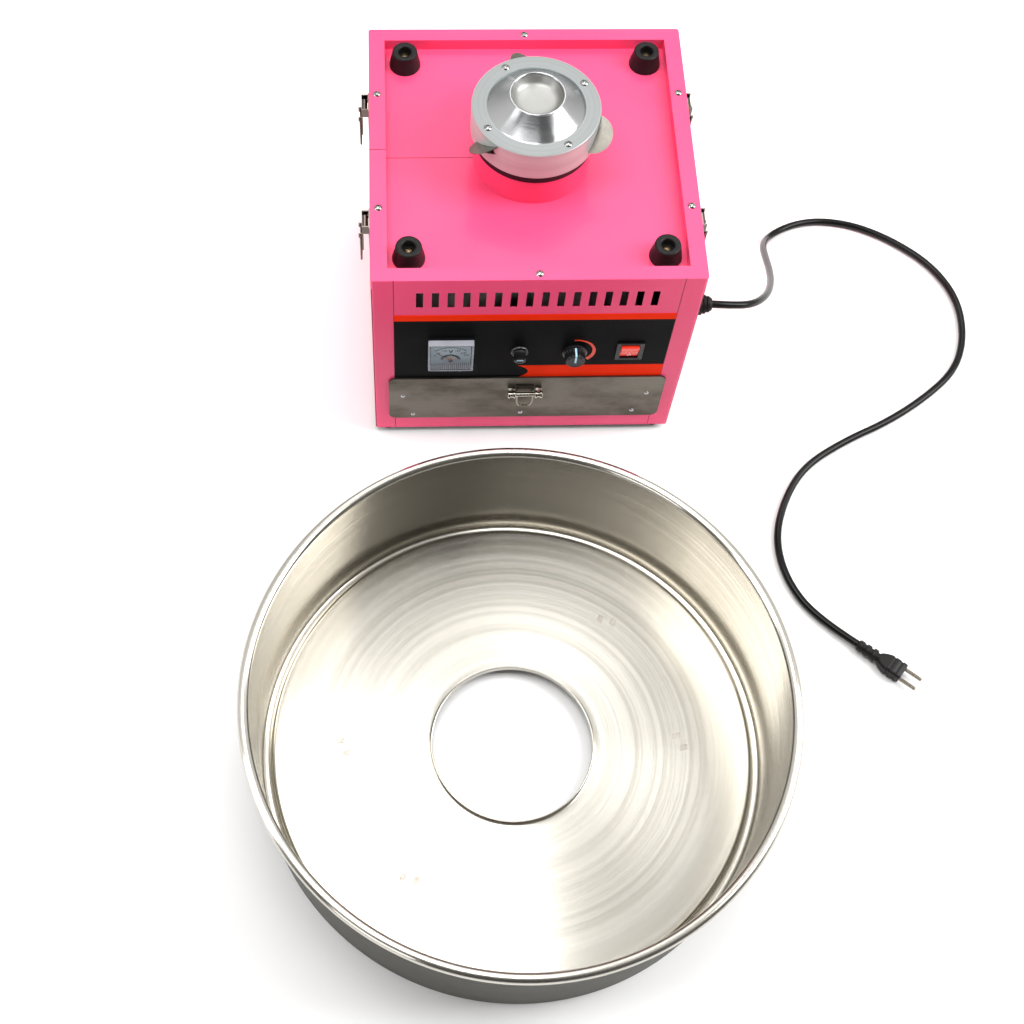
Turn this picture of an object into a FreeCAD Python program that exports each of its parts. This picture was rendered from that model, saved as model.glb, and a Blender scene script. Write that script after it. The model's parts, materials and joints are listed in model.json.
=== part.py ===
import FreeCAD, Part
import math
import os
import re
import Sketcher

# Table-top cotton candy machine: a sheet-steel cabinet with a spinning head on top, a
# spoon drawer and control panel in front, four draw latches, a mains cord, and the spun
# pan, which lies on the floor in front of the cabinet.
# Millimetres, +Z up. The origin is on the floor under the middle of the cabinet, whose
# front faces -Y. Positions of the front's pieces are measured from the front sheet.

V = FreeCAD.Vector
doc = FreeCAD.newDocument("cotton_candy_machine")

# ---------------------------------------------------------------- driving dimensions
SIZES = {
    # cabinet
    "cabinet_width": 324, "cabinet_depth": 318, "cabinet_top": 282, "foot_height": 10,
    "gauge": 1, "bend_radius": 3, "seam": 0.15, "column_width": 22,
    "rim_width": 16.5, "rim_depth": 15, "recess_depth": 12.7, "base_inset": 1.2,
    "foot_radius": 11, "foot_side": 148, "foot_front": 143,
    "weld_gap": 0.4, "weld_depth": 0.5,
    # vents
    "vent_width": 7, "vent_height": 24, "vent_bottom": 238, "vent_count": 16,
    "vent_span": 229.5,
    # pan cushions and the screws of the top frame
    "cushion_side": 124.7, "cushion_front": 123, "cushion_foot": 16, "cushion_tip": 11.5,
    "cushion_height": 19.2, "cushion_well": 6.5, "cushion_well_depth": 8,
    "frame_screw_side": 153.6, "frame_screw_front": 151.6, "frame_screw_step": 72,
    "screw_head": 4.1, "screw_head_height": 2, "screw_shank": 1.6, "screw_length": 9,
    "screw_hole": 1.7,
    # collar under the spinning head
    "collar_radius": 58, "collar_height": 32.7, "collar_lip": 50, "collar_wall": 1.2,
    "deck_hole": 54, "ring_outer": 59.5, "ring_inner": 54, "ring_height": 7,
    # spinning head
    "head_radius": 62.5, "head_wall": 1.8, "head_bottom": 312.5, "head_top": 344.3,
    "head_plate": 1.7, "head_mouth": 48, "head_floor": 2.5, "hub_radius": 15,
    "hub_bottom": 300, "hub_top": 332, "vane_radius": 18.5, "vane_gauge": 1,
    "vane_centre": 60, "vane_height": 330, "vane_pitch": 34, "vane_first": -23,
    "window_width": 22, "window_height": 7, "ring_screw_circle": 55.3,
    "heater_outer": 56, "heater_inner": 47, "heater_bottom": 323, "heater_height": 10,
    "heater_post": 3, "heater_post_circle": 51.5,
    "cone_rim": 27.6, "cone_height": 16.7, "cup_depth": 11, "cone_gauge": 1,
    # motor and its drive to the head
    "bracket_level": 196, "bracket_gauge": 3, "bracket_depth": 55, "bracket_flange": 22,
    "motor_radius": 48, "motor_height": 84, "motor_wall": 4, "bell_thickness": 12,
    "bearing_radius": 16, "shaft_radius": 6, "running_gap": 0.05,
    "shaft_bottom": 108, "shaft_top": 334, "rotor_radius": 40, "rotor_height": 44,
    "fan_radius": 42, "fan_hub": 11, "fan_bottom": 202, "fan_height": 9,
    "sleeve_radius": 14, "sleeve_bottom": 220, "sleeve_height": 42,
    "slip_radius": 20, "slip_height": 8, "slip_low": 226, "slip_high": 246,
    "brush_width": 6, "brush_height": 6, "brush_length": 15, "brush_gap": 0.1,
    "holder_start": 24.5, "holder_end": 60, "holder_half": 10,
    "holder_bottom": 222, "holder_top": 262, "holder_foot": 55.5,
    # control panel
    "overlay_gauge": 0.3, "overlay_bottom": 104, "overlay_top": 225.3,
    "controls_level": 160, "meter_x": -82.5, "meter_level": 162, "meter_side": 47,
    "meter_flange": 2.7, "meter_proud": 10.5, "meter_body": 19, "meter_body_depth": 30,
    "dial_side": 41, "dial_gauge": 0.5, "cover_wall": 1, "needle_length": 20,
    "needle_width": 0.9, "needle_pivot_drop": 12, "needle_hub": 2.2, "needle_angle": 45,
    "fuse_x": -12, "fuse_bezel": 9, "fuse_body": 6.5, "fuse_bore": 4.2,
    "fuse_body_depth": 34, "fuse_cap": 6.4, "fuse_cap_length": 9.5, "fuse_radius": 2.5,
    "fuse_length": 20, "fuse_stem": 3, "fuse_stem_length": 4,
    "knob_x": 44.5, "knob_flange": 13, "knob_radius": 11, "knob_skirt": 3,
    "knob_proud": 14.3, "knob_clearance": 0.6, "spindle_radius": 2.9,
    "spindle_length": 16, "regulator_radius": 14, "regulator_depth": 22,
    "regulator_neck": 4.5,
    "switch_x": 101, "switch_width": 28, "switch_height": 29, "switch_flange": 2,
    "switch_opening_width": 19, "switch_opening_height": 23.2, "switch_body_depth": 26,
    "rocker_width": 18.4, "rocker_half": 10, "rocker_axis": 3,
    "rocker_high": 7.4, "rocker_low": 3.4, "rocker_mid": 5,
    # drawer
    "drawer_plate_half": 146.5, "drawer_plate_bottom": 34, "drawer_plate_top": 112,
    "drawer_plate_gauge": 2, "drawer_plate_gap": 0.4, "drawer_corner": 8,
    "tray_half": 126, "tray_bottom": 42, "tray_top": 98, "tray_length": 218,
    "drawer_opening_half": 128, "drawer_opening_bottom": 39, "drawer_opening_top": 101,
    "rail_lap": 14, "rail_height": 24, "rail_gap": 0.2, "rail_length": 250,
    "handle_x": -2, "handle_level": 89.5, "handle_reach": 6, "handle_plate_half": 19,
    "handle_plate_low": 79, "handle_plate_high": 100, "knuckle_radius": 3.8,
    "knuckle_length": 8, "knuckle_offset": 14.3, "bail_wire": 1.5, "bail_half": 8.4,
    "bail_drop": 23,
    # latches
    "latch_y": 74, "latch_axis_level": 262, "latch_axis_out": 5, "latch_base_half": 12,
    "latch_base_low": 222, "latch_base_high": 268, "latch_base_gauge": 1.2,
    "latch_ear_gauge": 1.2, "latch_pin": 1.5, "latch_barrel": 3.2, "lever_half": 7,
    "lever_low": 228, "lever_out": 6.9, "lever_gauge": 1.2, "lug_level": 250,
    "lug_out": 9.5, "lug_gauge": 1, "lug_half_height": 3, "loop_wire": 1,
    "loop_half": 9.2, "loop_low": 214, "loop_bend": 2,
    # cord, gland and plug
    "gland_y": -118, "gland_level": 181, "gland_radius": 12.5, "gland_neck": 7,
    "gland_length": 24, "gland_shank": 8, "gland_shank_depth": 12, "cord_radius": 4,
    "plug_relief_start": 5.6, "plug_relief_end": 6.8, "plug_relief_length": 26,
    "plug_length": 54, "plug_width": 20, "plug_height": 14.6, "pin_radius": 2,
    "pin_spacing": 12.8, "pin_length": 19,
    # pan
    "pan_x": -27.85, "pan_y": -530.04, "pan_gauge": 1, "pan_wall_radius": 250.5,
    "pan_floor": 14, "pan_floor_radius": 239, "pan_gutter_radius": 241,
    "pan_corner": 2, "pan_bead_level": 154.5, "pan_bead": 5.25, "pan_hole": 80,
    "pan_hem": 19, "catch_radius": 169, "catch_angle": 26, "catch_turn": 25.8,
    "catch_width": 18, "catch_foot": 14, "catch_gauge": 1.5, "catch_drop": 9,
}

sheet = doc.addObject("Spreadsheet::Sheet", "Sizes")
sheet.set("A1", "name")
sheet.set("B1", "value")
for row, (alias, size) in enumerate(SIZES.items(), start=2):
    sheet.set("A%d" % row, alias)
    sheet.set("B%d" % row, str(size))
    sheet.setAlias("B%d" % row, alias)
doc.recompute()

parts = {}


# ---------------------------------------------------------------- expression helpers
def spelled(expression):
    """Point each alias in an expression at its cell of the spreadsheet."""
    return re.sub(r"[a-z][a-z_]+",
                  lambda word: "Sizes." + word.group(0) if word.group(0) in SIZES
                  else word.group(0), str(expression))


def worth(expression):
    """The present value of an expression, as a plain number."""
    return float(sheet.evalExpression(spelled(expression)))


def bind(item, name, expression):
    item.setExpression(name, spelled(expression))
    return item


def place(item, at=("0", "0", "0"), turn=None):
    if turn is not None:
        item.Placement = FreeCAD.Placement(V(0, 0, 0), turn)
    for letter, expression in zip("xyz", at):
        bind(item, "Placement.Base." + letter, expression)
    return item


def node(label, item):
    """Name a finished sub-part; the label is also its file's name."""
    item.Label = label
    parts[label] = item
    return item


# ---------------------------------------------------------------- primitives
TO_PLUS_X = FreeCAD.Rotation(V(0, 1, 0), 90)
TO_MINUS_Y = FreeCAD.Rotation(V(1, 0, 0), 90)
TO_PLUS_Y = FreeCAD.Rotation(V(1, 0, 0), -90)
UPRIGHT = FreeCAD.Rotation()


def block(name, across, along, height):
    """A box between two values in each of X, Y and Z."""
    item = doc.addObject("Part::Box", name)
    sides = zip(("Length", "Width", "Height"), "xyz", (across, along, height))
    for side, letter, (low, high) in sides:
        bind(item, side, "abs((%s) - (%s))" % (high, low))
        bind(item, "Placement.Base." + letter, "min(%s; %s)" % (low, high))
    return item


def rod(name, radius, length, at, turn=UPRIGHT):
    item = doc.addObject("Part::Cylinder", name)
    bind(item, "Radius", radius)
    bind(item, "Height", length)
    return place(item, at, turn)


def tubing(name, outer, inner, length, at, turn=UPRIGHT):
    wall = rod(name + "_outer", outer, length, at, turn)
    bore = rod(name + "_bore", inner, length, at, turn)
    return cut(name, wall, bore)


def fuse(name, *items):
    item = doc.addObject("Part::MultiFuse", name)
    item.Shapes = list(items)
    item.Refine = True
    return item


def group(name, *items):
    """Separate solids that share a node."""
    item = doc.addObject("Part::Compound", name)
    item.Links = list(items)
    return item


def cut(name, base, *tools):
    item = doc.addObject("Part::Cut", name)
    item.Base = base
    item.Tool = tools[0] if len(tools) == 1 else fuse(name + "_tools", *tools)
    return item


# ---------------------------------------------------------------- sketched bodies
def sketch_on(body, name, role, offset=None):
    sketch = body.newObject("Sketcher::SketchObject", name)
    plane = [item for item in body.Origin.OriginFeatures if item.Role == role][0]
    sketch.AttachmentSupport = [(plane, "")]
    sketch.MapMode = "FlatFace"
    if offset is not None:
        bind(sketch, "AttachmentOffset.Base.z", offset)
    return sketch


def rounding(start, end, radius, side):
    """An arc from start to end whose bulge lies left (+1) or right (-1) of the chord.

    A side of +2 or -2 takes the longer way round.
    """
    chord = end - start
    half = chord.Length / 2
    rise = math.sqrt(max(radius * radius - half * half, 0))
    sagitta = radius + rise if abs(side) == 2 else radius - rise
    left = V(-chord.y, chord.x, 0).normalize() * math.copysign(sagitta, side)
    return Part.Arc(start, start + chord / 2 + left, end)


def outline(sketch, corners):
    """Close an outline through corners and bind each to its two expressions.

    A corner is (across, up), or (across, up, radius, side) where the side that leaves
    it is an arc.
    """
    spots = [V(worth(corner[0]), worth(corner[1]), 0) for corner in corners]
    count = len(corners)
    first = sketch.GeometryCount
    ends = []
    for number, corner in enumerate(corners):
        start = spots[number]
        end = spots[(number + 1) % count]
        if len(corner) == 2:
            sketch.addGeometry(Part.LineSegment(start, end))
            ends.append((1, 2))
            continue
        arc = rounding(start, end, worth(corner[2]), corner[3])
        index = sketch.addGeometry(arc)
        forward = sketch.Geometry[index].StartPoint.distanceToPoint(start) < 1e-6
        ends.append((1, 2) if forward else (2, 1))
    for number in range(count):
        after = (number + 1) % count
        sketch.addConstraint(Sketcher.Constraint(
            "Coincident", first + number, ends[number][1], first + after, ends[after][0]))
    for number, corner in enumerate(corners):
        for kind, expression, size in zip(("DistanceX", "DistanceY"), corner[:2],
                                          (spots[number].x, spots[number].y)):
            index = sketch.addConstraint(Sketcher.Constraint(
                kind, -1, 1, first + number, ends[number][0], size))
            bind(sketch, "Constraints[%d]" % index, expression)
        if len(corner) > 2:
            index = sketch.addConstraint(Sketcher.Constraint(
                "Radius", first + number, worth(corner[2])))
            bind(sketch, "Constraints[%d]" % index, corner[2])


def oblong(sketch, low, high):
    """A rectangle between two corners."""
    outline(sketch, [(low[0], low[1]), (high[0], low[1]), (high[0], high[1]),
                     (low[0], high[1])])


def disc(sketch, across, up, radius):
    index = sketch.addGeometry(Part.Circle(V(worth(across), worth(up), 0), V(0, 0, 1),
                                           worth(radius)))
    for constraint, expression in (
            (Sketcher.Constraint("DistanceX", -1, 1, index, 3, worth(across)), across),
            (Sketcher.Constraint("DistanceY", -1, 1, index, 3, worth(up)), up),
            (Sketcher.Constraint("Radius", index, worth(radius)), radius)):
        number = sketch.addConstraint(constraint)
        bind(sketch, "Constraints[%d]" % number, expression)


def pad(body, sketch, length, midplane=False):
    item = body.newObject("PartDesign::Pad", sketch.Name + "_pad")
    item.Profile = sketch
    item.Midplane = midplane
    bind(item, "Length", length)
    return item


def pocket_through(body, sketch):
    """Cut a sketch through the body, both ways from its plane."""
    item = body.newObject("PartDesign::Pocket", sketch.Name + "_pocket")
    item.Profile = sketch
    item.Type = "ThroughAll"
    item.Midplane = True
    return item


def repeat_across(body, feature, sketch, span, count):
    item = body.newObject("PartDesign::LinearPattern", feature.Name + "_row")
    item.Originals = [feature]
    item.Direction = (sketch, ["H_Axis"])
    bind(item, "Length", span)
    bind(item, "Occurrences", count)
    body.Tip = item
    return item


def lathe(name, profile, at=("0", "0", "0"), turn=UPRIGHT):
    """A body turned about its own Z axis from an outline of (radius, height) corners."""
    body = doc.addObject("PartDesign::Body", name)
    sketch = sketch_on(body, name + "_profile", "XZ_Plane")
    outline(sketch, profile)
    item = body.newObject("PartDesign::Revolution", name + "_turned")
    item.Profile = sketch
    item.ReferenceAxis = (sketch, ["V_Axis"])
    item.Angle = 360
    return place(body, at, turn)


def round_edges(body, name, test, radius):
    """Fillet those edges of the body's last feature that pass a test."""
    doc.recompute()
    base = body.Tip
    chosen = ["Edge%d" % number for number, edge in enumerate(base.Shape.Edges, start=1)
              if test(edge)]
    item = body.newObject("PartDesign::Fillet", name)
    item.Base = (base, chosen)
    bind(item, "Radius", radius)
    return item


def upright_at(edge, across, along):
    """True for a vertical edge at plus or minus the given distances."""
    ends = [vertex.Point for vertex in edge.Vertexes]
    if len(ends) != 2 or abs(ends[0].z - ends[1].z) < 1e-6:
        return False
    return all(abs(abs(end.x) - across) < 1e-4 and abs(abs(end.y) - along) < 1e-4
               for end in ends)


# ---------------------------------------------------------------- wires and cords
def bent_path(points, bend=None):
    """Straight runs joined by tangent arcs; bend is the arcs' radius.

    With no bend given, each arc is as large as its two runs allow.
    """
    edges = []
    radii = []
    start = points[0]
    for before, corner, after in zip(points, points[1:], points[2:]):
        incoming = corner - before
        outgoing = after - corner
        turn = incoming.getAngle(outgoing)
        if bend is None:
            reach = 0.45 * min(incoming.Length, outgoing.Length)
        else:
            reach = bend * math.tan(turn / 2)
        radii.append(reach / math.tan(turn / 2))
        incoming.normalize()
        outgoing.normalize()
        enter = corner - incoming * reach
        leave = corner + outgoing * reach
        inward = (outgoing - incoming).normalize()
        middle = corner + inward * (radii[-1] / math.cos(turn / 2) - radii[-1])
        edges.append(Part.LineSegment(start, enter).toShape())
        edges.append(Part.Arc(enter, middle, leave).toShape())
        start = leave
    edges.append(Part.LineSegment(start, points[-1]).toShape())
    return Part.Wire(edges), radii


def wire_solid(name, points, radius, bend=None):
    """A round wire or cord along a path, with its volume compared with its length."""
    path, radii = bent_path(points, bend)
    ring = Part.Wire(Part.Circle(points[0], points[1] - points[0], radius).toShape())
    item = doc.addObject("Part::Feature", name)
    item.Shape = path.makePipeShell([ring], True, False)
    expected = math.pi * radius ** 2 * path.Length
    if abs(item.Shape.Volume / expected - 1) > 0.01:
        raise ValueError("%s has volume %.1f, not %.1f" % (name, item.Shape.Volume, expected))
    return item, path.Length, radii


# ---------------------------------------------------------------- cabinet shell
HALF_WIDTH = "cabinet_width / 2"
HALF_DEPTH = "cabinet_depth / 2"
COLUMN_EDGE = "(cabinet_width / 2 - column_width)"
FRONT = "(-cabinet_depth / 2)"
DECK = "(cabinet_top - recess_depth)"
PANEL_TOP = "(cabinet_top - gauge)"
RECESS_SIDE = "(cabinet_width / 2 - rim_width)"
RECESS_FRONT = "(cabinet_depth / 2 - rim_depth)"
SIDES = ((-1, "left"), (1, "right"))
CORNERS = ((-1, -1), (1, -1), (1, 1), (-1, 1))


def side_panel(sign, word):
    """A side sheet with a bent flange that forms the column at the front and rear."""
    body = doc.addObject("PartDesign::Body", "side_" + word)
    plan = sketch_on(body, "plan_" + word, "XY_Plane")
    inner = "%d * %s" % (sign, COLUMN_EDGE)
    outer = "%d * %s" % (sign, HALF_WIDTH)
    wall = "%d * (%s - gauge)" % (sign, HALF_WIDTH)
    outline(plan, [(inner, "-" + HALF_DEPTH), (outer, "-" + HALF_DEPTH),
                   (outer, HALF_DEPTH), (inner, HALF_DEPTH),
                   (inner, HALF_DEPTH + " - gauge"), (wall, HALF_DEPTH + " - gauge"),
                   (wall, "gauge - " + HALF_DEPTH), (inner, "gauge - " + HALF_DEPTH)])
    pad(body, plan, PANEL_TOP + " - foot_height")
    place(body, ("0", "0", "foot_height"))
    width = worth(HALF_WIDTH)
    depth = worth(HALF_DEPTH)
    skin = worth("gauge")
    round_edges(body, "outer_bend_" + word, lambda edge: upright_at(edge, width, depth),
                "bend_radius")
    round_edges(body, "inner_bend_" + word,
                lambda edge: upright_at(edge, width - skin, depth - skin),
                "bend_radius - gauge")
    return body


node("side_panel_left", side_panel(*SIDES[0]))
cord_hole = rod("cord_hole", "gland_shank + 0.2", "4 * gauge",
                (HALF_WIDTH + " - 2 * gauge", "gland_y", "gland_level"), TO_PLUS_X)
node("side_panel_right", cut("side_right_holed", side_panel(*SIDES[1]), cord_hole))


def end_panel(name):
    """A flat sheet between the columns, with its row of vents."""
    body = doc.addObject("PartDesign::Body", name)
    face = sketch_on(body, name + "_face", "XZ_Plane")
    oblong(face, ("seam - " + COLUMN_EDGE, "foot_height"),
           (COLUMN_EDGE + " - seam", PANEL_TOP))
    pad(body, face, "gauge")
    vent = sketch_on(body, name + "_vent", "XZ_Plane")
    oblong(vent, ("-vent_span / 2 - vent_width / 2", "vent_bottom"),
           ("vent_width / 2 - vent_span / 2", "vent_bottom + vent_height"))
    slot = pocket_through(body, vent)
    repeat_across(body, slot, vent, "vent_span", "vent_count")
    return body


SWITCH_BACK_HALF = "(switch_opening_width / 2 + 2.5)"
SWITCH_BACK_RISE = "(switch_opening_height / 2 + 1.2)"


def control_holes(sketch):
    """The openings that the controls need in the front sheet and its overlay."""
    disc(sketch, "meter_x", "meter_level", "meter_body + 0.4")
    disc(sketch, "fuse_x", "controls_level", "fuse_body + 0.2")
    disc(sketch, "knob_x", "controls_level", "regulator_neck + 0.2")
    oblong(sketch,
           ("switch_x - %s - 0.2" % SWITCH_BACK_HALF,
            "controls_level - %s - 0.2" % SWITCH_BACK_RISE),
           ("switch_x + %s + 0.2" % SWITCH_BACK_HALF,
            "controls_level + %s + 0.2" % SWITCH_BACK_RISE))


front = end_panel("front_sheet")
openings = sketch_on(front, "front_openings", "XZ_Plane")
control_holes(openings)
oblong(openings, ("-drawer_opening_half", "drawer_opening_bottom"),
       ("drawer_opening_half", "drawer_opening_top"))
pocket_through(front, openings)
place(front, ("0", FRONT + " + gauge", "0"))
node("front_panel", front)
node("rear_panel", place(end_panel("rear_sheet"), ("0", HALF_DEPTH, "0")))


def weld_line(body, name, start, end, level):
    """A shallow groove where the top's sheets meet, left of the head."""
    line = sketch_on(body, name, "XY_Plane", level)
    oblong(line, (start, "-weld_gap / 2"), (end, "weld_gap / 2"))
    item = body.newObject("PartDesign::Pocket", name + "_groove")
    item.Profile = line
    bind(item, "Length", "weld_depth")


def top_frame():
    """The raised rim: a flat ring with a wall down to the deck."""
    body = doc.addObject("PartDesign::Body", "rim")
    ring = sketch_on(body, "rim_ring", "XY_Plane")
    oblong(ring, ("-" + HALF_WIDTH, "-" + HALF_DEPTH), (HALF_WIDTH, HALF_DEPTH))
    oblong(ring, ("-" + RECESS_SIDE, "-" + RECESS_FRONT), (RECESS_SIDE, RECESS_FRONT))
    pad(body, ring, "gauge")
    wall = sketch_on(body, "rim_wall", "XY_Plane", "gauge - recess_depth")
    oblong(wall, ("-%s - gauge" % RECESS_SIDE, "-%s - gauge" % RECESS_FRONT),
           (RECESS_SIDE + " + gauge", RECESS_FRONT + " + gauge"))
    oblong(wall, ("-" + RECESS_SIDE, "-" + RECESS_FRONT), (RECESS_SIDE, RECESS_FRONT))
    pad(body, wall, "recess_depth - gauge")
    weld_line(body, "rim_weld", "-" + HALF_WIDTH, "-" + RECESS_SIDE, "gauge")
    holes = sketch_on(body, "rim_screw_holes", "XY_Plane")
    for across, along in FRAME_SCREWS:
        disc(holes, across, along, "screw_hole")
    pocket_through(body, holes)
    place(body, ("0", "0", PANEL_TOP))
    width = worth(HALF_WIDTH)
    depth = worth(HALF_DEPTH)
    round_edges(body, "rim_corners", lambda edge: upright_at(edge, width, depth),
                "bend_radius")
    return body


FRAME_SCREWS = [("0", "%d * frame_screw_front" % end) for end in (-1, 1)]
FRAME_SCREWS += [("%d * frame_screw_side" % side, "%d * frame_screw_step" % end)
                 for side, end in CORNERS]


def screw(name, at):
    """A pan-head screw whose head sits on the given point."""
    across, along, level = at
    head = rod(name + "_head", "screw_head", "screw_head_height", at)
    shank = rod(name + "_shank", "screw_shank", "screw_length",
                (across, along, level + " - screw_length"))
    return fuse(name, head, shank)


node("top_frame", top_frame())
node("top_frame_screws", group("rim_screws", *[
    screw("rim_screw_%d" % number, (across, along, "cabinet_top"))
    for number, (across, along) in enumerate(FRAME_SCREWS)]))

deck = doc.addObject("PartDesign::Body", "deck")
deck_plan = sketch_on(deck, "deck_plan", "XY_Plane")
oblong(deck_plan, ("-%s - gauge" % RECESS_SIDE, "-%s - gauge" % RECESS_FRONT),
       (RECESS_SIDE + " + gauge", RECESS_FRONT + " + gauge"))
disc(deck_plan, "0", "0", "deck_hole")
pad(deck, deck_plan, "gauge")
weld_line(deck, "deck_weld", "-" + RECESS_SIDE, "-collar_radius", "gauge")
place(deck, ("0", "0", DECK + " - gauge"))
node("deck_plate", deck)

node("head_collar", lathe("collar", [
    ("collar_radius - collar_wall", "0"), ("collar_radius", "0"),
    ("collar_radius", "collar_height"), ("collar_lip", "collar_height"),
    ("collar_lip", "collar_height - collar_wall"),
    ("collar_radius - collar_wall", "collar_height - collar_wall")], ("0", "0", DECK)))
node("collar_ring", tubing("seal", "ring_outer", "ring_inner", "ring_height",
                           ("0", "0", DECK + " + collar_height")))

floor = block("floor_sheet",
              ("base_inset * 2 - " + HALF_WIDTH, HALF_WIDTH + " - base_inset * 2"),
              ("base_inset * 2 - " + HALF_DEPTH, HALF_DEPTH + " - base_inset * 2"),
              ("foot_height", "foot_height + gauge"))
floor_slots = [block("floor_slot_%d" % number, ("-60", "60"),
                     ("%d * 12 - 2.5" % number, "%d * 12 + 2.5" % number),
                     ("foot_height - gauge", "foot_height + 2 * gauge"))
               for number in range(-3, 4)]
node("base_plate", cut("floor_vented", floor, *floor_slots))

node("rubber_feet", group("feet", *[
    rod("foot_%d" % number, "foot_radius", "foot_height",
        ("%d * foot_side" % side, "%d * foot_front" % end, "0"))
    for number, (side, end) in enumerate(CORNERS)]))


def cushion(number, side, end):
    """A hollow rubber cone that the pan rests on."""
    spot = ("%d * cushion_side" % side, "%d * cushion_front" % end)
    cone = doc.addObject("Part::Cone", "cushion_cone_%d" % number)
    bind(cone, "Radius1", "cushion_foot")
    bind(cone, "Radius2", "cushion_tip")
    bind(cone, "Height", "cushion_height")
    place(cone, spot + (DECK,))
    well = rod("cushion_well_%d" % number, "cushion_well", "cushion_height",
               spot + (DECK + " + cushion_height - cushion_well_depth",))
    return cut("cushion_%d" % number, cone, well)


node("pan_cushions", group("cushions", *[
    cushion(number, *corner) for number, corner in enumerate(CORNERS)]))
node("cushion_screws", group("cushion_heads", *[
    rod("cushion_screw_%d" % number, "screw_head + 0.3", "screw_head_height + 0.5",
        ("%d * cushion_side" % side, "%d * cushion_front" % end,
         DECK + " + cushion_height - cushion_well_depth"))
    for number, (side, end) in enumerate(CORNERS)]))

# ---------------------------------------------------------------- control panel
PANEL_FACE = "(-cabinet_depth / 2 - overlay_gauge)"
SHEET_BACK = "(gauge + overlay_gauge)"

overlay = doc.addObject("PartDesign::Body", "overlay")
overlay_face = sketch_on(overlay, "overlay_face", "XZ_Plane")
oblong(overlay_face, ("seam - " + COLUMN_EDGE, "overlay_bottom"),
       (COLUMN_EDGE + " - seam", "overlay_top"))
control_holes(overlay_face)
pad(overlay, overlay_face, "overlay_gauge")
place(overlay, ("0", FRONT, "0"))
node("control_overlay", overlay)


def on_panel(name, profile, across):
    """A turned control: its own height runs out of the panel's face along -Y."""
    return lathe(name, profile, (across, PANEL_FACE, "controls_level"), TO_MINUS_Y)


def square_about(name, half, near, far):
    """A square block round the voltmeter's centre, between two depths."""
    return block(name, ("meter_x - " + half, "meter_x + " + half), (near, far),
                 ("meter_level - " + half, "meter_level + " + half))


METER_FACE = PANEL_FACE + " - meter_flange"
METER_FRONT = PANEL_FACE + " - meter_proud"
meter_flange = square_about("meter_flange_block", "meter_side / 2", PANEL_FACE, METER_FACE)
meter_can = rod("meter_can", "meter_body", "meter_body_depth",
                ("meter_x", METER_FACE + " + gauge", "meter_level"), TO_PLUS_Y)
node("meter_case", fuse("meter_housing", meter_flange, meter_can))
node("meter_dial", square_about("dial", "dial_side / 2", METER_FACE,
                                METER_FACE + " - dial_gauge"))
meter_shell = square_about("meter_shell", "meter_side / 2", METER_FACE, METER_FRONT)
meter_room = square_about("meter_room", "(meter_side / 2 - cover_wall)", METER_FACE,
                          METER_FRONT + " + cover_wall")
node("meter_cover", cut("meter_window", meter_shell, meter_room))
NEEDLE_DEPTH = METER_FACE + " - dial_gauge - 1.2"
NEEDLE_LEVEL = "meter_level - needle_pivot_drop"
needle_wire = rod("needle_wire", "needle_width / 2", "needle_length",
                  ("meter_x", NEEDLE_DEPTH, NEEDLE_LEVEL),
                  FreeCAD.Rotation(V(0, 1, 0), -worth("needle_angle")))
needle_hub = rod("needle_hub_disc", "needle_hub", "1.2",
                 ("meter_x", NEEDLE_DEPTH + " + 0.6", NEEDLE_LEVEL), TO_MINUS_Y)
node("meter_needle", fuse("pointer", needle_wire, needle_hub))

node("fuse_holder", on_panel("holder", [
    ("fuse_bore", "-fuse_body_depth"), ("fuse_body", "-fuse_body_depth"),
    ("fuse_body", "0"), ("fuse_bezel", "0"), ("fuse_bezel", "1.2"),
    ("fuse_bezel - 0.8", "2"), ("fuse_bore", "2")], "fuse_x"))
node("fuse_cap", on_panel("cap", [
    ("0", "-fuse_stem_length"), ("fuse_stem", "-fuse_stem_length"), ("fuse_stem", "2.3"),
    ("fuse_cap", "2.3"), ("fuse_cap", "2.3 + fuse_cap_length - 1"),
    ("fuse_cap - 1", "2.3 + fuse_cap_length"), ("0", "2.3 + fuse_cap_length")], "fuse_x"))
node("glass_fuse", rod("fuse_tube", "fuse_radius", "fuse_length",
                       ("fuse_x", PANEL_FACE + " + fuse_stem_length", "controls_level"),
                       TO_PLUS_Y))

node("temperature_knob", on_panel("knob", [
    ("0", "-spindle_length"), ("spindle_radius", "-spindle_length"),
    ("spindle_radius", "knob_clearance"), ("knob_flange", "knob_clearance"),
    ("knob_flange", "knob_clearance + knob_skirt - 1"),
    ("knob_flange - 1", "knob_clearance + knob_skirt"),
    ("knob_radius", "knob_clearance + knob_skirt"),
    ("knob_radius - 0.6", "knob_proud - 1"), ("knob_radius - 1.6", "knob_proud"),
    ("0", "knob_proud")], "knob_x"))
node("heat_regulator", on_panel("regulator", [
    ("spindle_radius + running_gap", "0"), ("regulator_neck", "0"),
    ("regulator_neck", "-" + SHEET_BACK), ("regulator_radius", "-" + SHEET_BACK),
    ("regulator_radius", "-%s - regulator_depth" % SHEET_BACK),
    ("0", "-%s - regulator_depth" % SHEET_BACK),
    ("0", "-spindle_length - 0.4"),
    ("spindle_radius + running_gap", "-spindle_length - 0.4")], "knob_x"))


def about_switch(name, half, rise, near, far):
    return block(name, ("switch_x - " + half, "switch_x + " + half), (near, far),
                 ("controls_level - " + rise, "controls_level + " + rise))


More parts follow.
